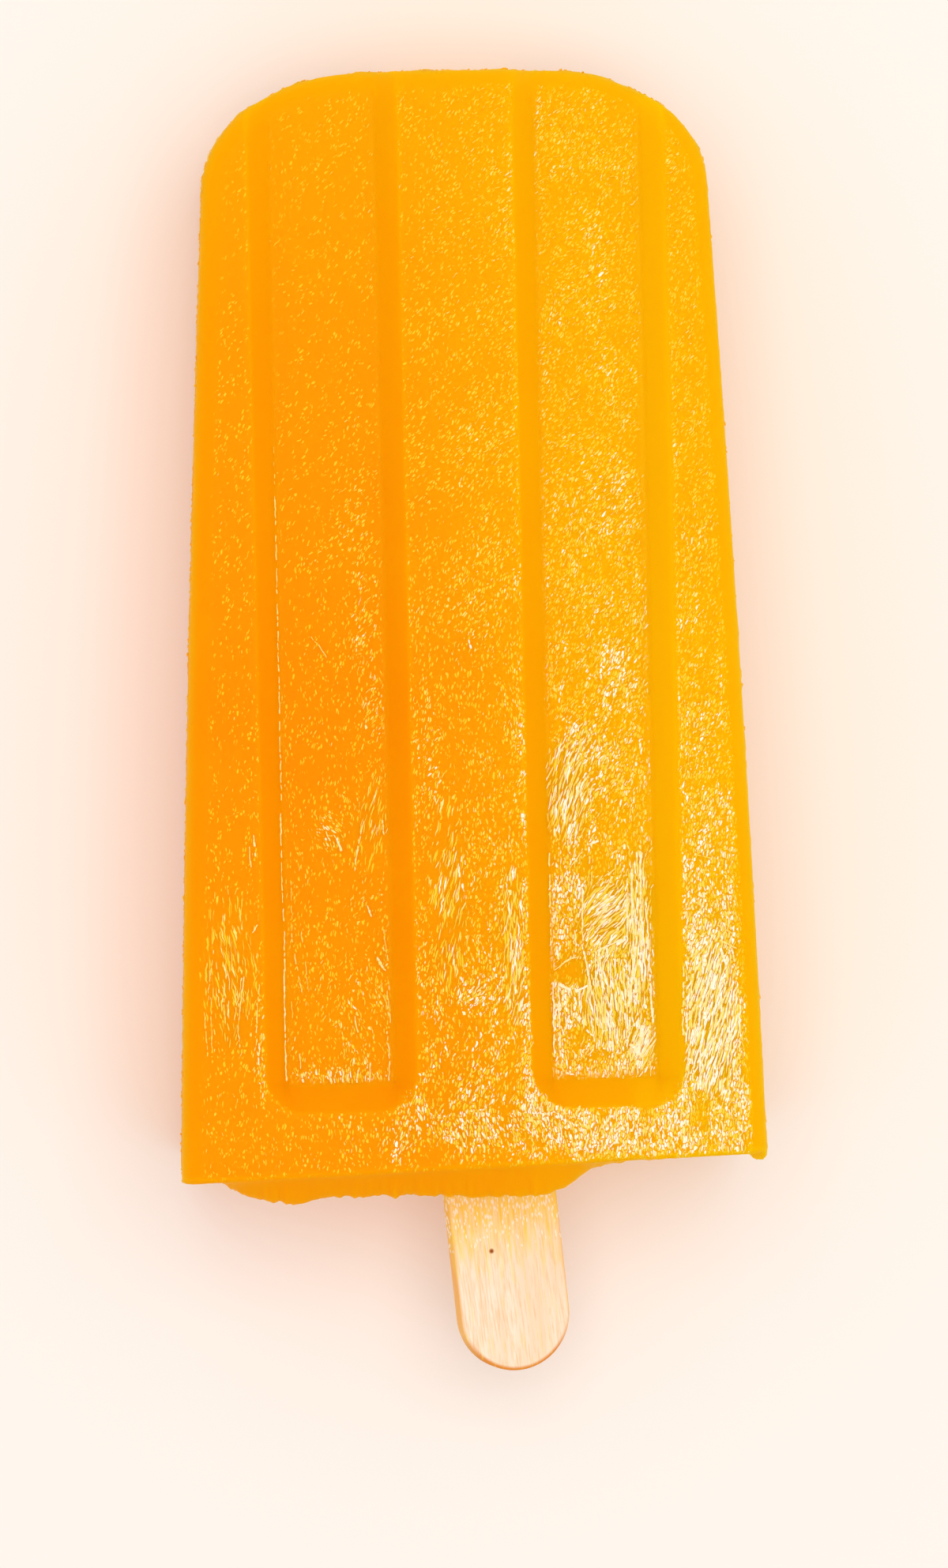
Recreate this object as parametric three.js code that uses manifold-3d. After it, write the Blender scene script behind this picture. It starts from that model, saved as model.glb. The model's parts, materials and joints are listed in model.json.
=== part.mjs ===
// Ice pop: a slab of frozen fruit juice on a flat wooden stick, lying on its back.
//
// The slab is what a home freezer mould gives. It is a tapered block, widest and thickest at the
// mouth of the mould, with round corners at the tip and two long recessed panels in each broad
// face. The panels are closed near the mouth and run out over the tip, so that the block can slide
// out of the mould. The juice swelled as it froze, so a low ragged crown stands on the mouth end
// around the stick, and that end is a little out of square.
//
// Units are millimetres. X runs across the slab and Y along it, from 0 at the mouth to the tip.
// Z runs through it. The slab is first built level, with Z = 0 halfway through, and then gets its
// taper and is laid on its back, with Z = 0 on the ground.

import * as THREE from 'three';
import { ConvexGeometry } from 'three/addons/geometries/ConvexGeometry.js';
import { mergeVertices, toCreasedNormals } from 'three/addons/utils/BufferGeometryUtils.js';
import Module from 'manifold-3d';

// ---- Slab -------------------------------------------------------------------------------------
const LENGTH = 96;
const MOUTH_HALF_WIDTH = 25.6;
const TIP_HALF_WIDTH = 21.5;
const SIDE_BOW = 0.36; // the freezing juice pushed each side out by this much at half length
const MOUTH_THICKNESS = 24;
const TIP_THICKNESS = 19.5;
const EDGE_RADIUS = 2; // where the broad faces turn into the sides
const CORNER_ACROSS = 13.4; // the tip's corners are quarter ellipses
const CORNER_ALONG = 9.9;

// ---- Recessed panels, two in each broad face ------------------------------------------------------
const RIB_HALF_WIDTH = 5; // from the centre line to a panel's inner edge
const PANEL_OUTER = 18.15; // from the centre line to its outer edge
const PANEL_END = 5.2; // from the mouth to its closed end
const PANEL_DEPTH = 2.2;
const PANEL_WALL = 1.9; // width of its sloping side walls, seen from the front
const PANEL_END_WALL = 2.25;
const PANEL_CORNER = 3.3; // radius of the closed end's corners; at the floor they are sharp

// ---- Mouth end --------------------------------------------------------------------------------
const MOUTH_SKEW = 0.03; // slope of the mouth end across the slab
const CROWN_REACH = 2.4; // how far the crown stands out, at the middle
const CROWN_HUMP = 0.45; // a hump on it towards the left
const CROWN_HUMP_X = -16;
const CROWN_HUMP_HALF_WIDTH = 4.5;
const CROWN_RAGGEDNESS = 0.16;
const CROWN_LEFT = -22;
const CROWN_RIGHT = 12.2;
const CROWN_LEFT_SLOPE = 5.5; // width of the slope from the mouth end up to the crown's top
const CROWN_RIGHT_SLOPE = 4.6;
const CROWN_FRONT_INSET = 0.2; // from the front face to the crown's foot
const CROWN_BACK_INSET = 2;
const CROWN_FRONT_SLOPE = 3;
const CROWN_BACK_SLOPE = 5;
const CROWN_SINK = 0.25; // its foot starts this far inside the slab
const BEAD_RADIUS = 1.1; // a frozen bead on the front corner at the right
const BEAD_X = 24.7;
const BEAD_Y = 0.9;
const BEAD_Z = 8.5;

// ---- Stick ------------------------------------------------------------------------------------
const STICK_LENGTH = 93;
const STICK_WIDTH = 10;
const STICK_THICKNESS = 2;
const STICK_EDGE = 0.25; // rounding of its long edges
const STICK_SHOWN = 19.1; // how far it stands out of the mouth plane
const STICK_OFFSET = 2.3; // its centre line is this far right of the slab's at the mouth
const STICK_LEAN = THREE.MathUtils.degToRad(5.3);
const STICK_TWIST = THREE.MathUtils.degToRad(12.3);
const STICK_CLEARANCE = 0.3; // between the wood and the ice it is frozen into

// ---- Mesh fineness and overlaps -------------------------------------------------------------------
const CORNER_SEGMENTS = 14;
const SIDE_SEGMENTS = 8;
const EDGE_SEGMENTS = 5;
const PANEL_CORNER_SEGMENTS = 8;
const CROWN_COLUMNS = 56;
const CROWN_LAYERS = 18;
const STICK_CURVE_SEGMENTS = 10;
const STICK_BEVEL_SEGMENTS = 2;
const CREASE_ANGLE = 0.5; // radians between two faces that are shaded as an edge
const SPARE = 5; // cutters and joined pieces run this far past the surfaces they meet

const { lerp, smoothstep } = THREE.MathUtils;

// ---- Slab's outline and thickness -------------------------------------------------------------------
function halfWidth(y) {
  const share = y / LENGTH;
  return lerp(MOUTH_HALF_WIDTH, TIP_HALF_WIDTH, share) + SIDE_BOW * 4 * share * (1 - share);
}

const thickness = (y) => lerp(MOUTH_THICKNESS, TIP_THICKNESS, y / LENGTH);

// The right half of the outline seen from the front, from past the mouth round to the tip.
function rightOutline() {
  const points = [];
  const cornerStart = LENGTH - CORNER_ALONG;
  for (let n = 0; n < SIDE_SEGMENTS; n++) {
    const y = lerp(-SPARE, cornerStart, n / SIDE_SEGMENTS);
    points.push(new THREE.Vector2(halfWidth(y), y));
  }
  for (let n = 0; n <= CORNER_SEGMENTS; n++) {
    const turn = (n / CORNER_SEGMENTS) * (Math.PI / 2);
    const y = cornerStart + CORNER_ALONG * Math.sin(turn);
    points.push(new THREE.Vector2(halfWidth(y) - CORNER_ACROSS * (1 - Math.cos(turn)), y));
  }
  return points;
}

// The block with this outline and rounded edges, centred on Z = 0.
function roundedBlock(height) {
  const right = rightOutline();
  const left = right.map((point) => new THREE.Vector2(-point.x, point.y)).reverse();
  const outline = new THREE.Shape([...right, ...left]);
  const depth = height - 2 * EDGE_RADIUS;
  return new THREE.ExtrudeGeometry(outline, {
    depth,
    bevelSize: EDGE_RADIUS,
    bevelThickness: EDGE_RADIUS,
    bevelOffset: -EDGE_RADIUS,
    bevelSegments: EDGE_SEGMENTS,
  }).translate(0, 0, -depth / 2);
}

// Gives a geometry built about Z = 0 the slab's taper in thickness, and lays it on its back.
function taperAndLay(geometry) {
  const corners = geometry.attributes.position;
  for (let n = 0; n < corners.count; n++) {
    const share = corners.getZ(n) / MOUTH_THICKNESS + 0.5;
    corners.setZ(n, share * thickness(corners.getY(n)));
  }
  return geometry;
}

// ---- Recessed panels ----------------------------------------------------------------------------
const FLOOR_LEFT = RIB_HALF_WIDTH + PANEL_WALL;
const FLOOR_RIGHT = PANEL_OUTER - PANEL_WALL;
const FLOOR_START = PANEL_END + PANEL_END_WALL;

// The panel on the front face's right: its mouth has round corners at the closed end, and its
// walls slope in to a floor with sharp ones.
function panelCutter() {
  const surface = MOUTH_THICKNESS / 2;
  const rim = [];
  for (let n = 0; n <= PANEL_CORNER_SEGMENTS; n++) {
    const turn = (n / PANEL_CORNER_SEGMENTS) * (Math.PI / 2);
    const inset = PANEL_CORNER * (1 - Math.sin(turn));
    const y = PANEL_END + PANEL_CORNER * (1 - Math.cos(turn));
    rim.push([RIB_HALF_WIDTH + inset, y], [PANEL_OUTER - inset, y]);
  }
  const end = LENGTH + SPARE;
  rim.push([RIB_HALF_WIDTH, end], [PANEL_OUTER, end]);
  const floor = [FLOOR_LEFT, FLOOR_RIGHT].flatMap((x) => [[x, FLOOR_START], [x, end]]);
  const at = (z) => ([x, y]) => new THREE.Vector3(x, y, z);
  return new ConvexGeometry([
    ...rim.map(at(surface + SPARE)),
    ...rim.map(at(surface)),
    ...floor.map(at(surface - PANEL_DEPTH)),
  ]);
}

// Straight down through the slab from the right panel's floor.
function floorCutter() {
  const length = LENGTH + SPARE - FLOOR_START;
  return new THREE.BoxGeometry(FLOOR_RIGHT - FLOOR_LEFT, length, MOUTH_THICKNESS)
    .translate((FLOOR_LEFT + FLOOR_RIGHT) / 2, FLOOR_START + length / 2, 0);
}

// ---- Mouth end ----------------------------------------------------------------------------------
// The mouth end lies on this line, and everything past it is cut off.
const mouthLine = (x) => MOUTH_SKEW * x;

function mouthCutter() {
  return new THREE.BoxGeometry(4 * MOUTH_HALF_WIDTH, 2 * SPARE, 2 * MOUTH_THICKNESS)
    .translate(0, -SPARE, 0)
    .rotateZ(Math.atan(MOUTH_SKEW));
}

// An uneven line from a few waves of unrelated lengths, between about -1 and 1.
const unevenness = (x) =>
  0.5 * Math.sin(1.9 * x + 0.4) + 0.3 * Math.sin(3.7 * x + 2.1) + 0.2 * Math.sin(5.3 * x + 5.2);

// Where the crown's surface lies at x across and z above the middle of the slab.
function crownSurface(x, z) {
  const front = MOUTH_THICKNESS / 2;
  const rise =
    smoothstep(x - CROWN_LEFT, 0, CROWN_LEFT_SLOPE) *
    smoothstep(CROWN_RIGHT - x, 0, CROWN_RIGHT_SLOPE) *
    smoothstep(front - CROWN_FRONT_INSET - z, 0, CROWN_FRONT_SLOPE) *
    smoothstep(front - CROWN_BACK_INSET + z, 0, CROWN_BACK_SLOPE);
  const fromHump = Math.min(1, Math.abs(x - CROWN_HUMP_X) / CROWN_HUMP_HALF_WIDTH);
  const hump = CROWN_HUMP * (1 - fromHump * fromHump);
  const top = -CROWN_REACH - hump + CROWN_RAGGEDNESS * unevenness(x + 0.7 * z);
  return lerp(mouthLine(x) + CROWN_SINK, top, rise);
}

// A box of cells whose outer face is the crown, and whose inner face lies inside the slab.
function crownGeometry() {
  const width = CROWN_RIGHT - CROWN_LEFT;
  const height = MOUTH_THICKNESS - CROWN_FRONT_INSET - CROWN_BACK_INSET;
  const crown = new THREE.BoxGeometry(width, SPARE, height, CROWN_COLUMNS, 1, CROWN_LAYERS);
  crown.translate((CROWN_LEFT + CROWN_RIGHT) / 2, 0, (CROWN_BACK_INSET - CROWN_FRONT_INSET) / 2);
  const corners = crown.attributes.position;
  for (let n = 0; n < corners.count; n++) {
    if (corners.getY(n) > 0) continue;
    corners.setY(n, crownSurface(corners.getX(n), corners.getZ(n)));
  }
  return crown;
}

const beadGeometry = () =>
  new THREE.SphereGeometry(BEAD_RADIUS, 16, 10).translate(BEAD_X, BEAD_Y, BEAD_Z);

// ---- Stick --------------------------------------------------------------------------------------
// A flat bar with half-round ends, along Y and centred on the origin, larger all round by grow.
function stickGeometry(grow = 0) {
  const radius = STICK_WIDTH / 2 - STICK_EDGE + grow;
  const straight = (STICK_LENGTH - STICK_WIDTH) / 2;
  const depth = STICK_THICKNESS - 2 * STICK_EDGE + 2 * grow;
  const outline = new THREE.Shape();
  outline.absarc(0, straight, radius, 0, Math.PI);
  outline.absarc(0, -straight, radius, Math.PI, 2 * Math.PI);
  return new THREE.ExtrudeGeometry(outline, {
    depth,
    curveSegments: STICK_CURVE_SEGMENTS,
    bevelSize: STICK_EDGE,
    bevelThickness: STICK_EDGE,
    bevelSegments: STICK_BEVEL_SEGMENTS,
  }).translate(0, 0, -depth / 2);
}

// The stick lies in the slab's middle plane, leaning and twisted a little.
function heldStick(stick) {
  const middleSlope = Math.atan2(MOUTH_THICKNESS - TIP_THICKNESS, 2 * LENGTH);
  const holder = new THREE.Group();
  holder.add(stick);
  holder.position.set(STICK_OFFSET, 0, MOUTH_THICKNESS / 2);
  holder.rotation.set(-middleSlope, 0, STICK_LEAN);
  stick.position.y = STICK_LENGTH / 2 - STICK_SHOWN;
  stick.rotation.y = STICK_TWIST;
  holder.updateMatrixWorld(true);
  return holder;
}

// ---- Joining and cutting ------------------------------------------------------------------------
const wasm = await Module();
wasm.setup();

function toSolid(geometry) {
  const bare = geometry.clone();
  bare.deleteAttribute('normal');
  bare.deleteAttribute('uv');
  const merged = mergeVertices(bare);
  return new wasm.Manifold(new wasm.Mesh({
    numProp: 3,
    vertProperties: new Float32Array(merged.attributes.position.array),
    triVerts: new Uint32Array(merged.index.array),
  }));
}

function toGeometry(solid) {
  const mesh = solid.getMesh();
  const geometry = new THREE.BufferGeometry();
  geometry.setAttribute('position', new THREE.BufferAttribute(mesh.vertProperties, 3));
  geometry.setIndex(new THREE.BufferAttribute(mesh.triVerts, 1));
  return geometry;
}

// A full block with the panels cut through it, and a thinner one that shows as their floors.
function slabGeometry() {
  let slab = toSolid(roundedBlock(MOUTH_THICKNESS));
  for (const turned of [0, Math.PI]) {
    for (const side of [1, -1]) {
      const shift = side === 1 ? 0 : -(RIB_HALF_WIDTH + PANEL_OUTER);
      const panel = panelCutter().translate(shift, 0, 0).rotateY(turned);
      const through = floorCutter().translate(shift, 0, 0).rotateY(turned);
      slab = slab.subtract(toSolid(panel)).subtract(toSolid(through));
    }
  }
  slab = slab
    .add(toSolid(roundedBlock(MOUTH_THICKNESS - 2 * PANEL_DEPTH)))
    .subtract(toSolid(mouthCutter()))
    .add(toSolid(crownGeometry()))
    .add(toSolid(beadGeometry()));
  return taperAndLay(toGeometry(slab));
}

// ---- Assembly -----------------------------------------------------------------------------------
const juice = new THREE.MeshStandardMaterial({ color: 0xffa200, roughness: 0.4, metalness: 0 });
const birch = new THREE.MeshStandardMaterial({ color: 0xfbe2c0, roughness: 0.75, metalness: 0 });

const stick = new THREE.Mesh(stickGeometry(), birch);
stick.name = 'wooden_stick';
const holder = heldStick(stick);

const seat = stickGeometry(STICK_CLEARANCE).applyMatrix4(stick.matrixWorld);
const seatedSlab = toGeometry(toSolid(slabGeometry()).subtract(toSolid(seat)));
const ice = new THREE.Mesh(toCreasedNormals(seatedSlab, CREASE_ANGLE), juice);
ice.name = 'juice_ice';

const icePop = new THREE.Group();
icePop.add(ice, holder);

// The origin is on the ground, under the middle of the whole.
icePop.updateMatrixWorld(true);
const bounds = new THREE.Box3().setFromObject(icePop, true);
icePop.position.x = -(bounds.min.x + bounds.max.x) / 2;
icePop.position.y = -(bounds.min.y + bounds.max.y) / 2;

export default icePop;
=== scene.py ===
# %% [markdown]
# # An orange ice pop
#
# Orange juice, frozen in a home mould onto a flat birch stick, and lying on its back. The packed
# CAD model gives the size and the place of the two pieces, the juice ice and the stick. This
# script dresses them: it builds a finer ice body with soft edges and a ragged end, grows frost
# with painted glints on its flat faces, cuts a finer stick, and gives each a material made from
# its own nodes. Blender works in metres and the numbers below are in millimetres, so each one is
# multiplied by MM.

# %% Load the frame
import json
import math

import bmesh
import bpy
import numpy as np
from mathutils import Matrix, Vector, noise
from mathutils.geometry import delaunay_2d_cdt

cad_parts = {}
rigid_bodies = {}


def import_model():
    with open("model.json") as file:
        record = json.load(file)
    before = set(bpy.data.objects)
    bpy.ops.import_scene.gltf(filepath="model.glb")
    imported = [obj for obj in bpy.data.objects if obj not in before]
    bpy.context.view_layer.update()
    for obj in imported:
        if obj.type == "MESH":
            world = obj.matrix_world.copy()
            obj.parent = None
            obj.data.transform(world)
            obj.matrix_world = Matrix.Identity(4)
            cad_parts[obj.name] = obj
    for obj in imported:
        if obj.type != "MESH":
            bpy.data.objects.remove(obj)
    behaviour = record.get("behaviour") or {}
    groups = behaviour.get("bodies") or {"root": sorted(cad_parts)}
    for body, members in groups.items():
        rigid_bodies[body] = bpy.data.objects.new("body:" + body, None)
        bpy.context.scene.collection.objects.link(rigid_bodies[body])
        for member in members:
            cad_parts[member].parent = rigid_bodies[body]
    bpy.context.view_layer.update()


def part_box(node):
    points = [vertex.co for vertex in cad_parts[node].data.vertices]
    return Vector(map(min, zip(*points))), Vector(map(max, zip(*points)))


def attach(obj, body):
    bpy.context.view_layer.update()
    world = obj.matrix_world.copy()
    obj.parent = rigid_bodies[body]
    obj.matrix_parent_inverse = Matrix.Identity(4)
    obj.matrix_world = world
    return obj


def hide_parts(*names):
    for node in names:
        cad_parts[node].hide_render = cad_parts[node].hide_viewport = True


MM = 0.001
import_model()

# %% [markdown]
# ## Where things are
#
# The slab is described from the mouth of its mould: X runs across it from its centre line, Y
# from the mouth towards the tip, and Z through it. The CAD model is laid out the same way, only
# moved along Y, so one number carries a place from the slab to the frame.

# %% The mouth's place in the frame
LENGTH = 95.7

MOUTH_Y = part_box("juice_ice")[1].y / MM - LENGTH
print("the mouth lies at Y =", round(MOUTH_Y, 3), "mm")

# %% [markdown]
# ## Camera
#
# The pop is seen from above through a long lens, so its outline hardly narrows with depth. The
# camera leans a little towards the tip and to the left, which squares it up with the sloping
# front face.

# %% Camera
IMAGE_HEIGHT = 1985
FOCAL_LENGTH_IN_PIXELS = 7240
CAMERA_DISTANCE = 500
CAMERA_TARGET = (0.58, MOUTH_Y + 33.4, 20)
CAMERA_ROLL = math.radians(3)
CAMERA_LEAN = math.radians(2.66)
CAMERA_SPIN = math.radians(-1.07)

camera_data = bpy.data.cameras.new("camera")
camera_data.lens = FOCAL_LENGTH_IN_PIXELS / IMAGE_HEIGHT * camera_data.sensor_width
camera = bpy.data.objects.new("camera", camera_data)
bpy.context.scene.collection.objects.link(camera)
turn = Matrix.Rotation(-CAMERA_ROLL, 3, "Y") @ Matrix.Rotation(-CAMERA_LEAN, 3, "X")
turn = turn @ Matrix.Rotation(CAMERA_SPIN, 3, "Z")
camera.rotation_euler = turn.to_euler()
camera.location = Vector(CAMERA_TARGET) * MM + turn.col[2] * CAMERA_DISTANCE * MM
bpy.context.scene.camera = camera
print("lens in mm:", round(camera_data.lens, 1))

# %% [markdown]
# ## The slab's outline
#
# A mould's cavity narrows towards the tip so that the frozen pop slides out, and its corners at
# the tip are round. Seen from the front, the sides are two long straight lines with a slight
# bow, and each corner is a quarter of an ellipse. The outline is kept as many close points.
# Lines inside it, for the rounded edge, are the same points moved inwards along their normals.

# %% Outline and its insets
MOUTH_HALF_WIDTH = 25.6
TIP_HALF_WIDTH = 21.5
SIDE_BOW = 0.36
CORNER_ACROSS = 13.4
CORNER_ALONG = 9.9
MOUTH_SKEW = 0.03  # the mouth end is cut this much out of square
PAST_MOUTH = 3  # the outline is drawn this far past the mouth, and then cut there


def half_width(y):
    share = y / LENGTH
    straight = MOUTH_HALF_WIDTH + (TIP_HALF_WIDTH - MOUTH_HALF_WIDTH) * share
    return straight + SIDE_BOW * 4 * share * (1 - share)


def close_outline():
    """The outline from past the mouth on the right, round the tip, to the left."""
    y = np.linspace(-PAST_MOUTH, LENGTH - CORNER_ALONG, 1500)
    side = np.column_stack([half_width(y), y])
    angle = np.linspace(0, math.pi / 2, 700)[1:]
    y = LENGTH - CORNER_ALONG + CORNER_ALONG * np.sin(angle)
    corner = np.column_stack([half_width(y) - CORNER_ACROSS * (1 - np.cos(angle)), y])
    half = np.vstack([side, corner])
    x = np.linspace(half[-1, 0], -half[-1, 0], 300)[1:-1]
    return np.vstack([half, np.column_stack([x, np.full_like(x, LENGTH)]), half[::-1] * [-1, 1]])


OUTLINE = close_outline()
ALONG = np.gradient(OUTLINE, axis=0)
ALONG /= np.linalg.norm(ALONG, axis=1)[:, None]
INWARD = np.column_stack([-ALONG[:, 1], ALONG[:, 0]])


def above_mouth(x, y):
    """How far a place lies from the line of the mouth end."""
    return y - MOUTH_SKEW * x


def inset_line(inset, shares):
    """Points at these shares of the outline's length, moved inwards, from mouth to mouth."""
    x, y = (OUTLINE + inset * INWARD).T
    index = np.arange(len(x))
    height = above_mouth(x, y)
    middle = len(x) // 2
    first = np.interp(0, height[:middle], index[:middle])
    last = np.interp(0, height[:middle:-1], index[:middle:-1])
    at = first + (last - first) * shares
    return np.column_stack([np.interp(at, index, x), np.interp(at, index, y)])


EDGE_STEP = 0.42  # between points along the outline
TRIAL_POINTS = 6001


def even_shares():
    trial = inset_line(0, np.linspace(0, 1, TRIAL_POINTS))
    length = np.concatenate([[0], np.cumsum(np.linalg.norm(np.diff(trial, axis=0), axis=1))])
    count = round(length[-1] / EDGE_STEP)
    return np.interp(np.linspace(0, length[-1], count), length, np.linspace(0, 1, TRIAL_POINTS))


SHARES = even_shares()
COUNT = len(SHARES)
print("points along the outline:", COUNT)

# %% [markdown]
# ## The shape of a broad face
#
# Each broad face has two long recessed panels that run out over the tip. A panel's mouth has
# round corners at its closed end, and its walls slope down to a floor with sharp ones. So the
# line around the panel changes from a round-cornered one to a sharp-cornered one on the way
# down. How far down the wall a point lies is found by trying: the line at half depth either
# encloses the point or not, and so on in halves.
#
# Frozen juice has no knife edges, so the profile turns softly from land to wall and from wall
# to floor.

# %% Height of a broad face
MOUTH_THICKNESS = 24
TIP_THICKNESS = 19.5
EDGE_RADIUS = 2
RIB_HALF_WIDTH = 5
PANEL_OUTER = 18.15
PANEL_CENTRE = (RIB_HALF_WIDTH + PANEL_OUTER) / 2
PANEL_END = 5.2
PANEL_DEPTH = 2.2
PANEL_WALL = 1.9
PANEL_END_WALL = 2.25
PANEL_CORNER = 3.3
CREASE_SOFTNESS = 0.07  # share of the wall that each soft turn takes
MOUTH_RIM_RADIUS = 0.5
HALVINGS = 22


def outside_panel_line(x, y, down):
    """Signed distance from the line around a panel at this share of its depth."""
    half = (PANEL_OUTER - RIB_HALF_WIDTH) / 2 - PANEL_WALL * down
    corner = PANEL_CORNER * np.maximum(1 - down, 0)
    across = np.abs(np.abs(x) - PANEL_CENTRE) - half + corner
    along = PANEL_END + PANEL_END_WALL * down - y + corner
    outside = np.hypot(np.maximum(across, 0), np.maximum(along, 0))
    return outside + np.minimum(np.maximum(across, along), 0) - corner


def share_of_wall(x, y):
    """0 at the top of a panel's wall and 1 at its foot, less on the land, more on the floor."""
    low, high = np.full(x.shape, -1.5), np.full(x.shape, 2.5)
    for _ in range(HALVINGS):
        middle = (low + high) / 2
        inside = outside_panel_line(x, y, middle) < 0
        low, high = np.where(inside, middle, low), np.where(inside, high, middle)
    return low


def soft_clamp(t):
    e = CREASE_SOFTNESS
    return 0.5 * (np.hypot(t, e) - np.hypot(t - 1, e) + 1)


def round_drop(distance, radius):
    """How far a rounded edge has dropped at this distance in from its side."""
    short = radius - np.clip(distance, 0, radius)
    return radius - np.sqrt(radius**2 - short**2)


def face_height(x, y, edge_drop):
    """Height of a broad face above the middle of the slab, before its taper."""
    drop = edge_drop + round_drop(above_mouth(x, y), MOUTH_RIM_RADIUS)
    return MOUTH_THICKNESS / 2 - drop - PANEL_DEPTH * soft_clamp(share_of_wall(x, y))


print("floor lies", PANEL_DEPTH, "mm below the land")

# %% [markdown]
# ## Triangles for a broad face
#
# A regular grid would cut across the panels' edges and the round corners in steps. Here the
# grid lines crowd together at each crease, and rings of points follow the rounded edge. Between
# the innermost ring and the grid, a Delaunay triangulation joins whatever points there are.

# %% Grid lines that crowd at creases
FINE_STEP = 0.13
FINE_REACH = 0.4
RIM_ANGLES = np.linspace(0, math.pi / 2, 9)
RIM_INSETS = EDGE_RADIUS * (1 - np.cos(RIM_ANGLES))
RIM_DROPS = EDGE_RADIUS * (1 - np.sin(RIM_ANGLES))
RINGS = len(RIM_ANGLES)


def grid_lines(low, high, step, creases):
    lines = list(np.linspace(low, high, round((high - low) / step) + 1))
    reach = FINE_REACH + 0.4 * step
    lines = [v for v in lines if all(abs(v - c) > reach for c in creases)]
    fine = np.arange(-FINE_REACH, FINE_REACH + 1e-6, FINE_STEP)
    return np.array(sorted(lines + [c + v for c in creases for v in fine]))


CREASES = [RIB_HALF_WIDTH, RIB_HALF_WIDTH + PANEL_WALL, PANEL_OUTER - PANEL_WALL, PANEL_OUTER]
END_CREASES = [PANEL_END, PANEL_END + PANEL_END_WALL]
INNER_HALF_WIDTH = MOUTH_HALF_WIDTH - EDGE_RADIUS
COLUMNS = grid_lines(
    -INNER_HALF_WIDTH, INNER_HALF_WIDTH, 0.5, [-c for c in CREASES] + CREASES
)[1:-1]
MOUTH_COLUMNS = np.linspace(-INNER_HALF_WIDTH, INNER_HALF_WIDTH, 237)[1:-1]
print("columns of the grid:", len(COLUMNS), "and at the mouth:", len(MOUTH_COLUMNS))

# %% The sheet of one face
RING_TO_GRID = 0.22
RIM_ROWS = MOUTH_RIM_RADIUS * np.array([0.08, 0.3, 0.6])


def face_sheet(row_step):
    """Corners and triangles of a broad face, and the edge's drop at each corner.

    The rings come first, from the outline inwards, then the mouth's line from right to left."""
    rings = [inset_line(inset, SHARES) for inset in RIM_INSETS]
    mouth = np.column_stack([MOUTH_COLUMNS[::-1], MOUTH_SKEW * MOUTH_COLUMNS[::-1]])
    rows = grid_lines(MOUTH_RIM_RADIUS, LENGTH - EDGE_RADIUS, row_step, END_CREASES)
    x, y = np.meshgrid(COLUMNS, np.concatenate([RIM_ROWS, rows]))
    y = y + MOUTH_SKEW * x * np.clip(1 - y / PANEL_END, 0, 1)
    grid = np.column_stack([x.ravel(), y.ravel()])
    limit = OUTLINE + (EDGE_RADIUS + RING_TO_GRID) * INWARD
    limit = limit[: len(limit) // 2]
    limit = limit[: np.argmax(limit[:, 1]) + 1]
    inside = np.abs(grid[:, 0]) < np.interp(grid[:, 1], limit[:, 1], limit[:, 0])
    grid = grid[inside & (grid[:, 1] < limit[-1, 1])]
    points = np.vstack(rings + [mouth, grid])
    drops = np.zeros(len(points))
    drops[: RINGS * COUNT] = np.repeat(RIM_DROPS, COUNT)
    faces = []
    for n in range(RINGS - 1):
        for a in range(n * COUNT, (n + 1) * COUNT - 1):
            faces += [(a, a + 1, a + COUNT + 1), (a, a + COUNT + 1, a + COUNT)]
    start = (RINGS - 1) * COUNT
    inner = [Vector(p) for p in points[start:]]
    loop = list(range(COUNT)) + [COUNT + len(mouth) - 1 - n for n in range(len(mouth))]
    corners, _, triangles, originals, _, _ = delaunay_2d_cdt(inner, [], [loop], 1, 1e-7)
    assert len(corners) == len(inner) and all(len(o) == 1 for o in originals)
    back = [start + o[0] for o in originals]
    faces += [tuple(back[c] for c in triangle) for triangle in triangles]
    return points, drops, faces


front_points, front_drops, front_faces = face_sheet(0.55)
back_points, back_drops, back_faces = face_sheet(1.1)
print("front:", len(front_faces), "triangles, back:", len(back_faces))

# %% [markdown]
# ## The mouth end
#
# Juice swells as it freezes, so a low ragged crown stands on the mouth end, all round the stick.
# It rises steeply from the front's rim, has a hump towards the left, and breaks off in steps at
# the right. A bead of juice froze on the corner at the right, and a few crumbs on the long
# sides. None of them is more than a bump, so the surface's own points are moved instead of
# adding pieces. The crown's line is given by a few pairs of numbers, and smooth noise in three
# sizes makes it ragged.

# %% Crown, bead and crumbs
CROWN_X = [-22.7, -21.6, -20.5, -19.5, -18.4, -17.4, -15.9, -15.1, -14.3, -13.2, -12.2, -7]
CROWN_X += [-3, 0, 3, 5.4, 6.5, 7.5, 8.6, 9.7, 10.7, 11.8, 13.9, 25]
CROWN_REACH = [0, 0.75, 1.3, 1.65, 2.0, 2.25, 2.5, 2.48, 2.28, 2.12, 2.0, 2.27]
CROWN_REACH += [2.5, 2.8, 2.95, 2.93, 2.83, 2.5, 1.95, 1.12, 0.66, 0.55, 0.22, 0.12]
CROWN_FRONT_INSET = 0.25
CROWN_BACK_INSET = 2
CROWN_FRONT_SLOPE = 3
CROWN_BACK_SLOPE = 5
CROWN_TEETH = [(0.17, 1.4, 22), (0.17, 0.6, 24), (0.15, 0.4, 26)]  # reach, size and seed
BEAD = (24.9, 9.6, 1.1, 0.7)  # x, height above the middle, radius, how far it stands out
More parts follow.
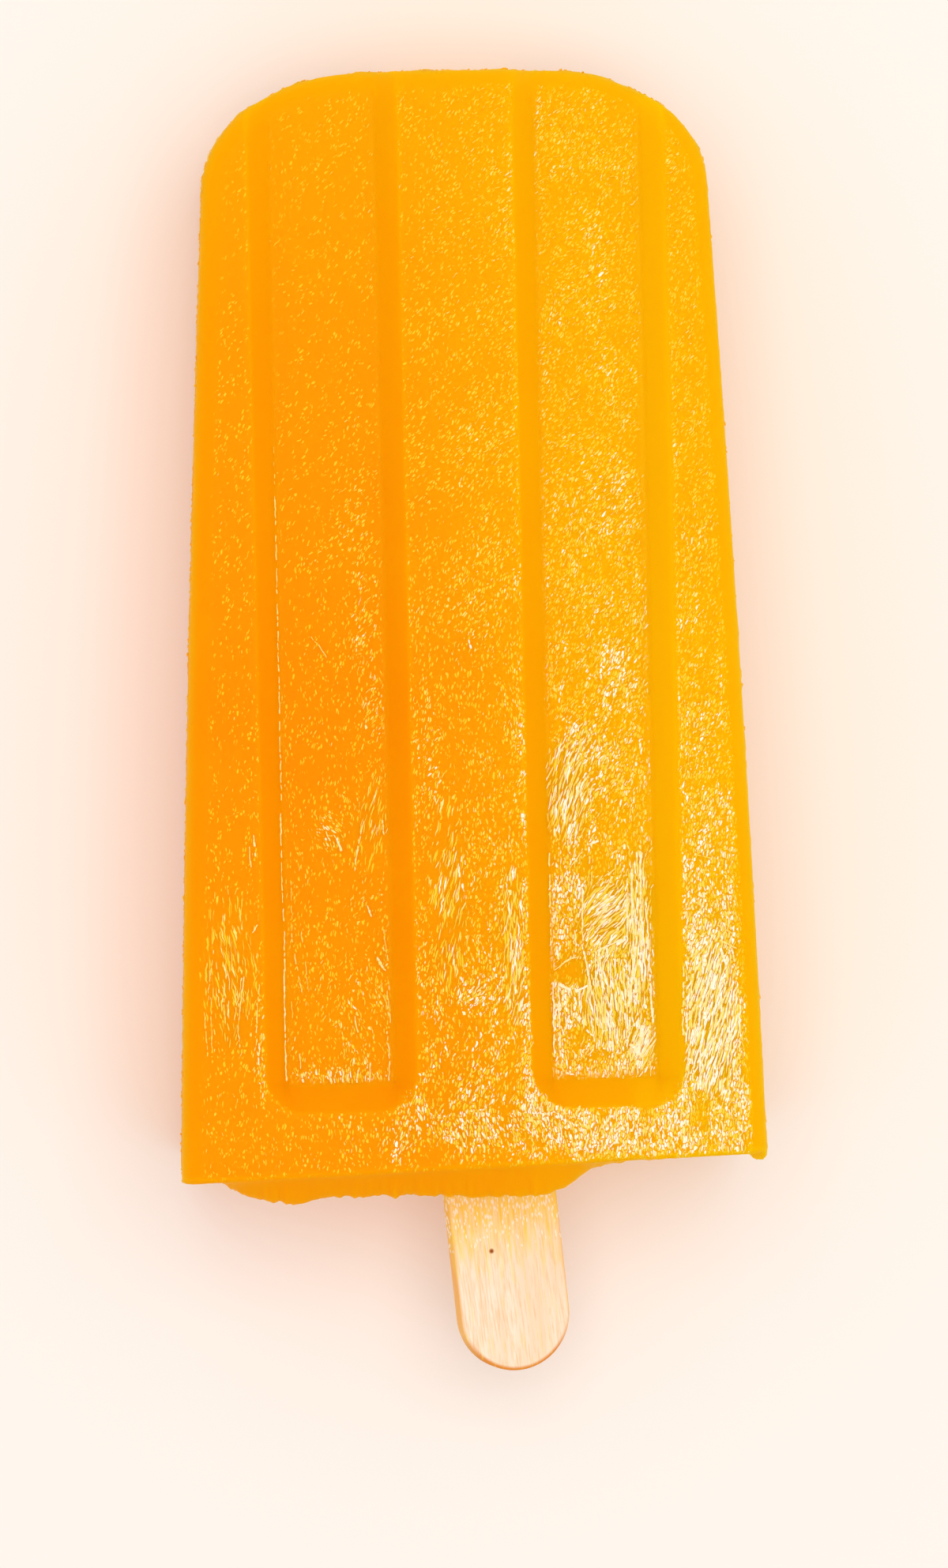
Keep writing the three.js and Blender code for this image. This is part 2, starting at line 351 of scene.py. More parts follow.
CRUMBS = [  # side, place along it, height above the middle, radius, how far it stands out
    (-1, 23.9, 9.0, 0.45, 0.3), (1, 42.6, 9.2, 0.9, 0.15), (1, 41.4, 9.0, 0.5, 0.18),
    (1, 34.6, 9.1, 0.8, 0.15), (1, 29.5, 8.6, 0.5, 0.12), (-1, 61.0, 8.4, 0.6, 0.1),
    (-1, 12.0, 8.0, 0.7, 0.12), (1, 24.0, 9.0, 0.7, 0.12), (1, 18.6, 9.2, 0.6, 0.1),
]


def waves(x, y, z, size, seed):
    """Smooth random numbers from about -1 to 1, with bumps of this size in mm."""
    shift = Vector((seed, 1.7 * seed, 0.3 * seed))
    places = zip(*np.broadcast_arrays(x, y, z))
    return np.array([noise.noise(Vector(place) / size + shift) for place in places])


def ramp(value, width):
    """Rises smoothly from 0 to 1 over this width."""
    share = np.clip(value / width, 0, 1)
    return share * share * (3 - 2 * share)


def bump(distance, radius):
    return np.clip(1 - (distance / radius) ** 2, 0, None) ** 1.5


def crown_reach(x, z):
    """How far the mouth end stands out at x across and z above the middle."""
    below_front = MOUTH_THICKNESS / 2 - z
    above_back = MOUTH_THICKNESS / 2 + z
    ragged = sum(reach * waves(x, 0.25 * z, 0, size, seed) for reach, size, seed in CROWN_TEETH)
    rise = ramp(below_front - CROWN_FRONT_INSET, CROWN_FRONT_SLOPE)
    rise = rise * ramp(above_back - CROWN_BACK_INSET, CROWN_BACK_SLOPE)
    bead = BEAD[3] * bump(np.hypot(x - BEAD[0], z - BEAD[1]), BEAD[2])
    line = np.interp(x + ragged, CROWN_X, CROWN_REACH)
    return rise * line + (0.4 + 0.6 * rise) * ragged * ramp(below_front - 0.2, 0.9) + bead


# %% [markdown]
# ## One closed ice body
#
# The front sheet, a mirrored back sheet and a wall between their outlines make one closed
# surface. The wall has more rows near the front and beside the stick, where something shows.
# The slab is then tapered, laid on its back and moved to its place in the frame.
#
# Nothing frozen is quite flat, so the surface gets low waves: along the faces a few hundredths
# of a millimetre, and along the sides a little more, which makes the outline uneven.

# %% Join the sheets with a wall
WALL_ROWS = np.concatenate([
    np.arange(0, 4.5, 0.34), np.linspace(4.7, 8.6, 5), np.linspace(9.1, 14.5, 9),
    np.linspace(15.6, 23, 8),
]) / 23


def loop_of_sheet():
    """Indices of a sheet's rim: round the outline, then along the mouth from left to right."""
    mouth = [RINGS * COUNT + n for n in range(len(MOUTH_COLUMNS))]
    left = [n * COUNT + COUNT - 1 for n in range(1, RINGS)]
    right = [n * COUNT for n in range(RINGS - 1, 0, -1)]
    return list(range(COUNT)) + left + mouth[::-1] + right


front_z = face_height(*front_points.T, front_drops)
back_z = -face_height(*back_points.T, back_drops)
loop = loop_of_sheet()
assert np.allclose(front_points[loop], back_points[loop])

places = [np.column_stack([front_points, front_z]), np.column_stack([back_points, back_z])]
front_count = len(front_points)
back_end = front_count + len(back_points)
rows = [loop]
start = back_end
for share in WALL_ROWS[1:-1]:
    z = front_z[loop] * (1 - share) + back_z[loop] * share
    places.append(np.column_stack([front_points[loop], z]))
    rows.append(list(range(start, start + len(loop))))
    start += len(loop)
rows.append([front_count + n for n in loop])
slab = np.vstack(places)
slab_faces = front_faces + [tuple(front_count + c for c in f[::-1]) for f in back_faces]
for upper, lower in zip(rows, rows[1:]):
    for n in range(len(loop)):
        m = (n + 1) % len(loop)
        slab_faces.append((upper[n], lower[n], lower[m], upper[m]))

on_mouth, on_side = np.zeros(len(slab), bool), np.zeros(len(slab), bool)
side_share = np.zeros(len(slab))  # where along the outline a point of the side lies
for row in rows:
    on_mouth[row[COUNT:] + [row[0], row[COUNT - 1]]] = True
    on_side[row[:COUNT]] = True
    side_share[row[:COUNT]] = SHARES
print("slab:", len(slab), "points")

# %% Uneven surface and place in the frame
FACE_WAVES = 0.035
SIDE_WAVES = 0.085


def uneven(places):
    """Moves the slab's points a little, as freezing did."""
    moved = places.copy()
    x, y, z = places.T
    low = FACE_WAVES * (waves(x, y, z, 5.0, 1) + 0.5 * waves(x, y, z, 1.6, 2))
    moved[:, 2] += np.where(z > 0, low, -low) * np.clip(np.abs(z) / 8, 0, 1)
    fine = 0.9 + 1.1 * ramp(y - 82, 10)  # rougher round the tip
    out = SIDE_WAVES * (waves(x, y, z, 3.4, 4) + fine * waves(x, y, z, 0.9, 6))
    for side, along, up, radius, reach in CRUMBS:
        there = np.hypot(y - along, z - up) / radius
        out += np.where(np.sign(x) == side, reach * bump(there, 1.0), 0)
    index = side_share * (len(OUTLINE) - 1)
    for axis in (0, 1):
        inward = np.interp(index, np.arange(len(OUTLINE)), INWARD[:, axis])
        moved[:, axis] -= np.where(on_side, out * inward, 0)
    moved[on_mouth, 1] -= crown_reach(x[on_mouth], z[on_mouth])
    return moved


def lay(places):
    """Tapers places in thickness, lays the slab on its back and moves it into the frame."""
    x, y, z = places.T
    thick = MOUTH_THICKNESS + (TIP_THICKNESS - MOUTH_THICKNESS) * y / LENGTH
    return np.column_stack([x, y + MOUTH_Y, (z / MOUTH_THICKNESS + 0.5) * thick])


def new_mesh(name, places, faces, edges=()):
    mesh = bpy.data.meshes.new(name)
    mesh.from_pydata((np.asarray(places) * MM).tolist(), edges, faces)
    mesh.validate()
    mesh.shade_smooth()
    return mesh


def add_piece(name, mesh):
    piece = bpy.data.objects.new(name, mesh)
    bpy.context.scene.collection.objects.link(piece)
    return piece


ice_mesh = new_mesh("frozen_juice", lay(uneven(slab)), slab_faces)
ice = add_piece("frozen_juice", ice_mesh)
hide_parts("juice_ice")
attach(ice, "root")
print("ice body:", sum(len(f) - 2 for f in slab_faces), "triangles")

# %% Check that it is closed
shell = bmesh.new()
shell.from_mesh(ice_mesh)
bmesh.ops.recalc_face_normals(shell, faces=shell.faces)
print("open edges:", sum(not e.is_manifold for e in shell.edges))
print("volume in cubic centimetres:", round(shell.calc_volume() * 1e6, 2))
shell.to_mesh(ice_mesh)
shell.free()

# %% [markdown]
# ## Where frost and painted glints go
#
# Moisture from the air freezes onto the flat faces as fine needles and grains. Its white flecks
# also stand for glints of the lamp, painted into the colour. On the rounded edges, the panels'
# walls and the crown they don't show. Five numbers are worked out at each corner of the mesh and
# kept as attributes, which the juice's material and the scattering of crystals read: the share of
# the surface that frost and painted glints cover, "lean", the way its needles lie, "brushed", 1
# where they grew into long strokes, "zone", which tells the faces apart, and the share of painted
# light, above 0 where a lighter orange stands in for light that leaks out of the ice.
#
# The share of frost and painted glints rises from the tip towards the mouth and is higher on the
# right, where the glints are densest. It is different on each flat strip, is a little higher
# along the strips' edges, and is raised in a few patches.

# %% Frost, lean and stroke patches
STRIP_CENTRES = [-21.5, -11.6, 0, 11.6, 21.5]
# frost, with painted glints of the lamp: more to the right and towards the mouth
FROST_AT_TIP = [0.01, 0.02, 0.06, 0.15, 0.08]
FROST_AT_MOUTH = [0.05, 0.17, 0.32, 0.52, 0.62]
PATCHES = [  # x, y, half-width, half-length, lean in degrees, added share, 1 if brushed
    (8.4, 32.7, 2.2, 4.5, 14, 0.25, 1), (9.8, 37.0, 1.0, 1.8, 5, 0.3, 0),
    (12.2, 35.0, 1.0, 1.2, 50, 0.25, 0), (11.9, 21.7, 2.4, 3.6, 52, 0.22, 1),
    (14.7, 20.4, 1.1, 7.5, 2, 0.4, 1), (8.3, 22.9, 1.5, 4.5, 6, 0.2, 0),
    (11.7, 14.0, 2.4, 4.0, -3, 0.2, 1), (8.6, 13.6, 1.4, 2.0, 0, 0.3, 0),
    (14.7, 10.3, 1.2, 1.9, 30, 0.4, 1), (7.5, 12.0, 0.7, 4.0, 0, 0.3, 0),
    (20.9, 12.6, 2.4, 7.0, 17, 0.8, 1), (19.6, 19.4, 0.9, 1.3, 30, 0.4, 0),
    (22.8, 29.5, 1.2, 5.0, 10, 0.1, 0), (12.9, 58.0, 2.6, 3.0, 50, 0.08, 0),
    (13.9, 42.5, 2.2, 4.0, 35, 0.12, 0), (-21.2, 17.8, 2.6, 7.0, -3, 0.16, 1),
    (-18.6, 11.0, 0.5, 5.0, 0, 0.25, 0), (-12.2, 29.6, 1.4, 1.7, -45, 0.22, 0),
    (-8.4, 29.6, 1.2, 4.6, 16, 0.12, 1), (-9.6, 13.0, 2.0, 4.5, -10, 0.1, 0),
    (-11.6, 8.2, 4.5, 0.6, 0, 0.3, 0), (0.1, 15.2, 1.4, 1.6, 40, 0.2, 0),
    (-2.0, 24.0, 1.6, 9.0, 14, 0.08, 1), (3.6, 20.0, 0.9, 8.0, 8, 0.08, 1),
    (4.0, 3.4, 9.0, 1.6, -8, 0.16, 0), (16.0, 3.4, 7.0, 1.6, 6, 0.12, 0),
    (-9.6, 57.0, 1.6, 3.5, 40, 0.17, 0), (-8.8, 48.5, 1.4, 4.5, 35, 0.18, 0),
    (-8.2, 40.0, 1.0, 3.5, 25, 0.2, 0), (-12.5, 53.0, 1.5, 1.5, 50, 0.08, 0),
    (-3.6, 36.0, 1.2, 5.0, 25, 0.14, 0), (0.5, 50.0, 3.0, 6.0, 30, 0.07, 0),
    (1.5, 62.0, 3.0, 6.0, 45, 0.06, 0), (-20.5, 62.0, 1.5, 12.0, 30, 0.03, 0),
    (11.8, 44.0, 4.5, 15.0, 32, 0.06, 0), (21.5, 44.0, 3.0, 15.0, 30, 0.04, 0),
]
HOLES = [(11.3, 26.4, 1.0, 1.4), (8.6, 16.9, 1.9, 1.0), (9.4, 11.4, 1.0, 0.9)]  # without frost
EDGE_FROST = 0.5  # how much more of it there is along a strip's edges
BACK_FROST = 0.16
SIDE_FROST = 0.06


def patch_weight(x, y, patch):
    return np.exp(-(((x - patch[0]) / patch[2]) ** 2 + ((y - patch[1]) / patch[3]) ** 2) ** 2)


def frost_and_glint_amount(x, y):
    """The share of a flat front face that frost and painted glints cover."""
    tip = np.interp(x, STRIP_CENTRES, FROST_AT_TIP)
    mouth = np.interp(x, STRIP_CENTRES, FROST_AT_MOUTH)
    amount = tip + (mouth - tip) * np.clip(1 - y / LENGTH, 0, 1) ** 3
    near_mouth = 1 - ramp(above_mouth(x, y), 3)
    amount = amount * (1 - 0.6 * near_mouth * (1 - ramp(x - 2, 6)))
    broad, fine = (waves(x, 0.7 * y, 0, size, seed) for size, seed in ((2.6, 11), (0.9, 12)))
    amount = amount * (1 + 0.9 * broad + 0.9 * fine)
    for crease in CREASES:
        amount = amount * (1 + EDGE_FROST * np.exp(-(((np.abs(x) - crease) / 0.6) ** 2)))
    for patch in PATCHES:
        amount = amount + patch[5] * patch_weight(x, y, patch)
    for hole in HOLES:
        amount = amount * (1 - 0.85 * patch_weight(x, y, hole))
    return np.clip(amount, 0, 1)


def frost_lean(x, y):
    """How far needles lean to the right, in radians, and whether they are long strokes."""
    lean = 12 + 30 * ramp(y - 40, 25) + 22 * waves(x, 0.6 * y, 0, 3, 14)
    brushed = np.zeros_like(x)
    for patch in PATCHES:
        weight = patch_weight(x, y, patch)
        lean = lean * (1 - weight) + patch[4] * weight
        brushed = np.maximum(brushed, patch[6] * weight)
    return np.radians(lean), brushed


def flatness(x, y, inset):
    """1 on flat broad faces, where frost and painted glints show, 0 on edges and panels' walls."""
    ragged = waves(x, y, 0, 0.8, 17)
    down = share_of_wall(x, y)
    right_wall = ramp(x - np.sign(x) * PANEL_CENTRE - 2, 2)
    top = 0.05 + 0.05 * ragged + 0.11 * right_wall * (x > 0)
    foot = 1.03 + 0.12 * right_wall
    off_wall = 1 - ramp(down + top, 0.05) * ramp(foot - down, 0.05)
    bare = 1.35 + 0.25 * (1 - ramp(x + 5, 10)) + 0.3 * ragged
    off_mouth = ramp(above_mouth(x, y) - 0.1 + 0.3 * ragged, 0.5)
    return off_wall * ramp(inset - bare, 0.4) * off_mouth


def painted_light_share(x, y, inset):
    """Painted light: on a broad face's edge, the right panel's outer wall and each wall's foot."""
    down = share_of_wall(x, y)
    rim = (0.65 - 0.4 * ramp(y - 40, 45)) * (1 - ramp(inset, 0.8))
    wall = ramp(x - 13, 2) * ramp(down + 0.1, 0.2) * ramp(1.3 - down, 0.15)
    # painted light at the foot of each wall, lifting the shade of the crease
    foot = 0.35 * ramp(down - 0.85, 0.15) * ramp(1.25 - down, 0.15)
    return np.maximum(rim, np.maximum(wall, foot))


def insets_of(points):
    """How far points lie inside the outline."""
    insets = np.minimum(half_width(points[:, 1]) - np.abs(points[:, 0]), LENGTH - points[:, 1])
    insets[: RINGS * COUNT] = np.repeat(RIM_INSETS, COUNT)
    return insets


# %% Keep them as attributes
LAND, FLOOR, BACK, SIDE = 0.0, 1.0, 2.0, 3.0
# painted light on all the sides
SIDE_PAINTED_LIGHT = 0.3

front = slice(0, front_count)
back = slice(front_count, back_end)
frost_and_glint, lean, brushed = np.zeros((3, len(slab)))
painted_light = SIDE_PAINTED_LIGHT * on_side
zone = np.full(len(slab), SIDE)
x, y = front_points.T
frost_and_glint[front] = frost_and_glint_amount(x, y) * flatness(x, y, insets_of(front_points))
lean[front], brushed[front] = frost_lean(x, y)
zone[front] = np.where(share_of_wall(x, y) > 0.5, FLOOR, LAND)
painted_light[front] = painted_light_share(x, y, insets_of(front_points))
x, y = back_points.T
frost_and_glint[back] = BACK_FROST * (1 + 0.6 * waves(*slab[back].T, 4, 15))
frost_and_glint[back] *= flatness(x, y, insets_of(back_points))
zone[back] = BACK
painted_light[back] = painted_light_share(x, y, insets_of(back_points))
wall = on_side & (zone == SIDE)
x, y, z = slab[wall].T
frost_and_glint[wall] = SIDE_FROST * (1 + 0.9 * waves(x, y, z, 3, 16))
frost_and_glint[wall] *= 1 + 6 * ramp(y - 78, 12) * ramp(z - 4, 6)  # the tip's rim
kept = {"frost_and_glint": frost_and_glint, "lean": lean, "brushed": brushed, "zone": zone, "painted_light": painted_light}
for name, values in kept.items():
    layer = ice_mesh.attributes.new(name, "FLOAT", "POINT")
    layer.data.foreach_set("value", values.astype(np.float32))
print("mean frost on the front:", round(float(frost_and_glint[front].mean()), 3))

# %% [markdown]
# ## Helpers for node trees
#
# Materials and Geometry Nodes trees are built from the same kind of line: a node, what its
# inputs get, which of its outputs is wanted, and its settings. An input gets either a value or
# the output that feeds it. A few kinds of node are used so often that they have short names.
#
# Colours are written as on a web page, in sRGB, and one function turns them into the linear
# values that Blender works in. A row of colours, such as frost from thin to thick, is a colour
# ramp.

# %% Node helper and colours
MATH, VECTOR, RANGE = "ShaderNodeMath", "ShaderNodeVectorMath", "ShaderNodeMapRange"
MIX, NOISE = "ShaderNodeMix", "ShaderNodeTexNoise"
RGBA = {"out": 2, "data_type": "RGBA"}  # a Mix node's colour output is its third


def add(tree, kind, inputs=(), out=0, **settings):
    """Adds a node and gives one of its outputs, or all of them where out is None.

    The inputs are a dictionary, or a tuple in the node's own order: a Map Range takes the value,
    the range that it comes from and the range that it goes to. Sockets are linked."""
    node = tree.nodes.new(kind)
    for name, value in settings.items():
        setattr(node, name, value)
    for name, value in inputs.items() if isinstance(inputs, dict) else enumerate(inputs):
        if isinstance(value, bpy.types.NodeSocket):
            tree.links.new(value, node.inputs[name])
        else:
            node.inputs[name].default_value = value
    return node.outputs if out is None else node.outputs[out]


def linear(hexcode):
    """An sRGB colour such as #FFA010 as linear RGBA."""
    parts = [int(hexcode[n : n + 2], 16) / 255 for n in (1, 3, 5)]
    return [v / 12.92 if v <= 0.04045 else ((v + 0.055) / 1.055) ** 2.4 for v in parts] + [1]


def set_stops(colour, stops):
    """Gives the colour ramp behind this output its stops: a place from 0 to 1 and a colour."""
    elements = colour.node.color_ramp.elements
    while len(elements) < len(stops):
        elements.new(0.5)
    for element, (place, hexcode) in zip(elements, stops):
        element.position = place
        element.color = linear(hexcode)


def new_material(name):
    """A material whose tree holds nothing yet."""
    material = bpy.data.materials.new(name)
    material.use_nodes = True
    material.node_tree.nodes.clear()
    return material, material.node_tree


# %% [markdown]
# ## Frozen orange juice
#
# Juice ice is cloudy: tiny crystals and pulp scatter the light, so it glows with a deep, even
# orange, and shade between its lands and walls almost disappears. Subsurface scattering gives
# that. Ice has an index of refraction of 1.31, but its gloss is broken up by frost, and a clean
# gloss would lay a white veil over the orange, so the specular level is set very low.
#
# The orange is deepest in the middle of the left side and yellower towards the tip and the
# right: painted light, as if those parts were lit more. So a row of colours runs along the left
# side, and it fades across the slab into the right side's lighter one. Light that has crossed an
# edge of the ice comes out again there, and slopes and creases would be shaded, so the rims, the
# sides, the outermost wall and the feet of the panels' walls are mixed with a lighter orange:
# painted light.

# %% Juice material: the orange, with painted light
# painted light: the left side's orange turns yellower towards the tip
LEFT_ORANGE = [
    (0, "#FE9901"), (0.13, "#FE9A01"), (0.42, "#FE9401"), (0.56, "#FE9901"), (0.78, "#FE9E01"),
    (1, "#FEA901"),
]
# painted light: the right side's lighter orange
LIT_RIGHT_ORANGE = "#FEB001"
# painted light on rims, sides, the outer wall and the walls' feet
PAINTED_LIGHT_ORANGE = "#FFC003"
MOST_PAINTED_LIGHT = 0.4
FADE_FROM, FADE_TO = -5, 22  # where the right side's orange starts and is full, at the mouth
FADE_SLANT = 9  # how far to the left of that they are at the tip
CLOUD_SIZE = 11

juice, tree = new_material("frozen_orange_juice")
position = add(tree, "ShaderNodeTexCoord", out="Object")
in_mm = add(tree, VECTOR, {0: position, "Scale": 1 / MM}, operation="SCALE")
axes = add(tree, "ShaderNodeSeparateXYZ", (in_mm,), None)
along = add(tree, RANGE, (axes["Y"], MOUTH_Y, MOUTH_Y + LENGTH))
slanted = add(tree, MATH, (along, FADE_SLANT, axes["X"]), operation="MULTIPLY_ADD")
# painted light: how far the lighter right-side orange has taken over
lit_to_right = add(tree, RANGE, (slanted, FADE_FROM, FADE_TO), interpolation_type="SMOOTHSTEP")
cloud = add(tree, NOISE, {"Vector": in_mm, "Scale": 1 / CLOUD_SIZE, "Detail": 2})
cloud = add(tree, RANGE, (cloud, 0.3, 0.7, -0.09, 0.09))
lit_to_right = add(tree, MATH, (lit_to_right, cloud), operation="ADD", use_clamp=True)
left_colour = add(tree, "ShaderNodeValToRGB", (along,))
set_stops(left_colour, LEFT_ORANGE)
orange = add(tree, MIX, {0: lit_to_right, 6: left_colour, 7: linear(LIT_RIGHT_ORANGE)}, **RGBA)
# painted light: the lighter orange of rims, sides and walls
painted_light_here = add(tree, "ShaderNodeAttribute", out="Fac", attribute_name="painted_light")
painted_light_mix = add(tree, MATH, (painted_light_here, MOST_PAINTED_LIGHT), operation="MULTIPLY")
orange = add(tree, MIX, {0: painted_light_mix, 6: orange, 7: linear(PAINTED_LIGHT_ORANGE)}, **RGBA)

# %% [markdown]
# ## The finest frost
#
# Most of the frost is too small to model. A Voronoi texture on stretched coordinates gives
# cells 0.18 mm across and 0.52 mm long, or 1.7 mm in the brushed patches, and soft noise bends
# them. To turn them the way the needles lean, the coordinates are turned. A smoothly changing
# angle would shear the pattern, so the angle goes in steps of 12 degrees, and the needles of
# one step lie in a patch of their own, as ice grains do.
#
# A cell is frosted if its random number is below the amount of frost there. Thin lines of bare
# juice stay between neighbours, and they are wider where there is less frost, so that its
# grains stand apart. Thick frost is white and thin frost is yellow, since juice shines through,
# and where there is more of it, it is also less even. The white also stands for glints of the
# lamp, painted into the colour, so more cells are frosted towards the right. On the side walls
# its cells are faint.

# %% Juice material: cells of frost and painted glints
# frost from thin to thick, with painted glints in its white
FROST_AND_GLINT_COLOURS = [(0, "#F4C214"), (0.3, "#F4D540"), (0.6, "#F7E98A"), (1, "#FFFCE2")]
CELL_WIDTH = 0.18
CELL_LENGTH = 0.52
STROKE_LENGTH = 1.7
WARP_SIZE = 0.6
LEAN_STEP = math.radians(12)

amount, angle, stroke = (
    add(tree, "ShaderNodeAttribute", out="Fac", attribute_name=name)
    for name in ("frost_and_glint", "lean", "brushed")
)
angle = add(tree, MATH, (angle, LEAN_STEP), operation="SNAP")
warp = add(tree, NOISE, {"Vector": in_mm, "Scale": 1 / WARP_SIZE, "Detail": 1}, "Color")
warp = add(tree, VECTOR, (warp, (0.5, 0.5, 0.5)), operation="SUBTRACT")
warped = add(tree, VECTOR, (warp, (0.3, 0.3, 0.3), in_mm), operation="MULTIPLY_ADD")
turned = add(
    tree, "ShaderNodeVectorRotate", {"Vector": warped, "Angle": angle}, rotation_type="Z_AXIS"
)
stroke = add(tree, MATH, (stroke, 0.4), operation="GREATER_THAN")
cell_scale = add(tree, MIX, {
    0: stroke, 4: (1 / CELL_WIDTH, 1 / CELL_LENGTH, 1 / CELL_LENGTH),
    5: (1 / CELL_WIDTH, 1 / STROKE_LENGTH, 1 / STROKE_LENGTH),
}, 1, data_type="VECTOR")
cells_at = add(tree, VECTOR, (turned, cell_scale), operation="MULTIPLY")
cells = add(tree, "ShaderNodeTexVoronoi", {"Vector": cells_at, "Scale": 1}, "Color")
borders = add(
    tree, "ShaderNodeTexVoronoi", {"Vector": cells_at, "Scale": 1}, "Distance",
    feature="DISTANCE_TO_EDGE",
)
chances = add(tree, "ShaderNodeSeparateXYZ", (cells,), None)

# more cells towards the right, where the painted glints are
least = add(tree, RANGE, (lit_to_right, 0, 1, 0.3, 0.6))
wanted = add(tree, RANGE, (amount, 0, 0.5, least, 0.86))
chosen = add(tree, MATH, (chances[0], wanted), operation="LESS_THAN")
gap = add(tree, RANGE, (amount, 0, 0.6, 0.18, 0.06))
gap_end = add(tree, MATH, (gap, 0.1), operation="ADD")
inside = add(tree, RANGE, (borders, gap, gap_end), interpolation_type="SMOOTHSTEP")
flat_face = add(tree, RANGE, (amount, 0.002, 0.02))
sparse = add(tree, RANGE, (painted_light_here, 0, SIDE_PAINTED_LIGHT, 1, 0.25))
flat_face = add(tree, MATH, (flat_face, sparse), operation="MULTIPLY")
cell_mask = add(tree, MATH, (inside, chosen), operation="MULTIPLY")
cell_mask = add(tree, MATH, (cell_mask, flat_face), operation="MULTIPLY")
rarely = add(tree, MATH, (chances[1], 3), operation="POWER")
dimmest = add(tree, RANGE, (amount, 0, 0.35, 0.6, 0.25))
brightest = add(tree, RANGE, (amount, 0, 0.35, 1.2, 3))
whiteness = add(tree, RANGE, (rarely, 0, 1, dimmest, brightest))
spread = add(tree, MATH, (amount, 1.25, 0.08), operation="MULTIPLY_ADD")
whiteness = add(tree, MATH, (whiteness, spread), operation="MULTIPLY", use_clamp=True)
frost_and_glint_colour = add(tree, "ShaderNodeValToRGB", (whiteness,))
set_stops(frost_and_glint_colour, FROST_AND_GLINT_COLOURS)

# %% Juice material: fine grains of frost and painted glint, and shader
FINE_FROST_AND_GLINT_YELLOW = "#FFCC00"
FINE_GRAIN_SIZE = 0.25

# fine yellow grains: frost and painted glints, more of them towards the right
fine_frost_and_glint = add(tree, NOISE, {"Vector": in_mm, "Scale": 1 / FINE_GRAIN_SIZE, "Detail": 2})
fine_frost_and_glint = add(tree, RANGE, (fine_frost_and_glint, 0.42, 0.66))
more_fine_grains = add(tree, RANGE, (amount, 0, 0.2, 0.05, 0.5))
fewer_fine_grains = add(tree, RANGE, (amount, 0.25, 0.5, 1, 0.3))
more_to_right = add(tree, RANGE, (lit_to_right, 0, 1, 0.15))
for factor in (flat_face, more_fine_grains, fewer_fine_grains, more_to_right):
    fine_frost_and_glint = add(tree, MATH, (fine_frost_and_glint, factor), operation="MULTIPLY")
with_fine_grains = add(tree, MIX, {0: fine_frost_and_glint, 6: orange, 7: linear(FINE_FROST_AND_GLINT_YELLOW)}, **RGBA)
colour = add(tree, MIX, {0: cell_mask, 6: with_fine_grains, 7: frost_and_glint_colour}, **RGBA)
roughness = add(tree, RANGE, (cell_mask, 0, 1, 0.42, 0.7))
glow = add(tree, RANGE, (cell_mask, 0, 1, 0.8, 0))
relief = add(
    tree, "ShaderNodeBump", {"Height": cell_mask, "Distance": 0.02 * MM, "Strength": 0.6}
)
shader = add(tree, "ShaderNodeBsdfPrincipled", {
    "Base Color": colour, "Roughness": roughness, "Normal": relief,
    "IOR": 1.31, "Specular IOR Level": 0.03,
    "Subsurface Weight": glow, "Subsurface Radius": (1, 0.7, 0.15), "Subsurface Scale": 2.5 * MM,
})
add(tree, "ShaderNodeOutputMaterial", (shader,), None)
ice_mesh.materials.append(juice)
print("juice material has", len(tree.nodes), "nodes")

# %% [markdown]
# ## Frost crystals
#
# The larger crystals stand on the surface, so they are modelled. Each is a flat needle with
# pointed ends, a sphere of 16 faces stretched along Y. Thin ones let the juice shine through,
# so each carries a number for how white it is, and its foot is always the colour of juice. The
# white also stands for glints of the lamp, painted into the colour.

# %% Frost material, with painted glints
FOOT_ORANGE = "#FDB212"

# the white of these crystals is frost and painted glints of the lamp
frost_glint_material, tree = new_material("hoarfrost_and_glints")  # gives the sharp white points and strokes
core, bright = (
    add(tree, "ShaderNodeAttribute", out="Fac", attribute_name=name) for name in ("core", "bright")
)
core = add(tree, RANGE, (core, 0.1, 0.7))
top = add(tree, "ShaderNodeValToRGB", (bright,))
set_stops(top, FROST_AND_GLINT_COLOURS)
colour = add(tree, MIX, {0: core, 6: linear(FOOT_ORANGE), 7: top}, **RGBA)
shader = add(tree, "ShaderNodeBsdfPrincipled", {
    "Base Color": colour, "Roughness": 0.5, "IOR": 1.31, "Specular IOR Level": 0.2,
})
add(tree, "ShaderNodeOutputMaterial", (shader,), None)

# %% Helpers for Geometry Nodes
STORE, MOVE = "GeometryNodeStoreNamedAttribute", "GeometryNodeTransform"
MARKS = ("frost_and_glint", "lean", "brushed", "zone", "painted_light", "up", "gaps", "thick", "white")


def new_tree(name, sockets):
    """A Geometry Nodes tree with a Geometry output and these inputs: name, type, value."""
    tree = bpy.data.node_groups.new(name, "GeometryNodeTree")
    tree.interface.new_socket("Geometry", in_out="OUTPUT", socket_type="NodeSocketGeometry")
    for label, kind, value in [("Geometry", "Geometry", None), *sockets]:
        socket = tree.interface.new_socket(label, in_out="INPUT", socket_type="NodeSocket" + kind)
        if value is not None:
            socket.default_value = value
    return tree, tree.nodes.new("NodeGroupInput").outputs


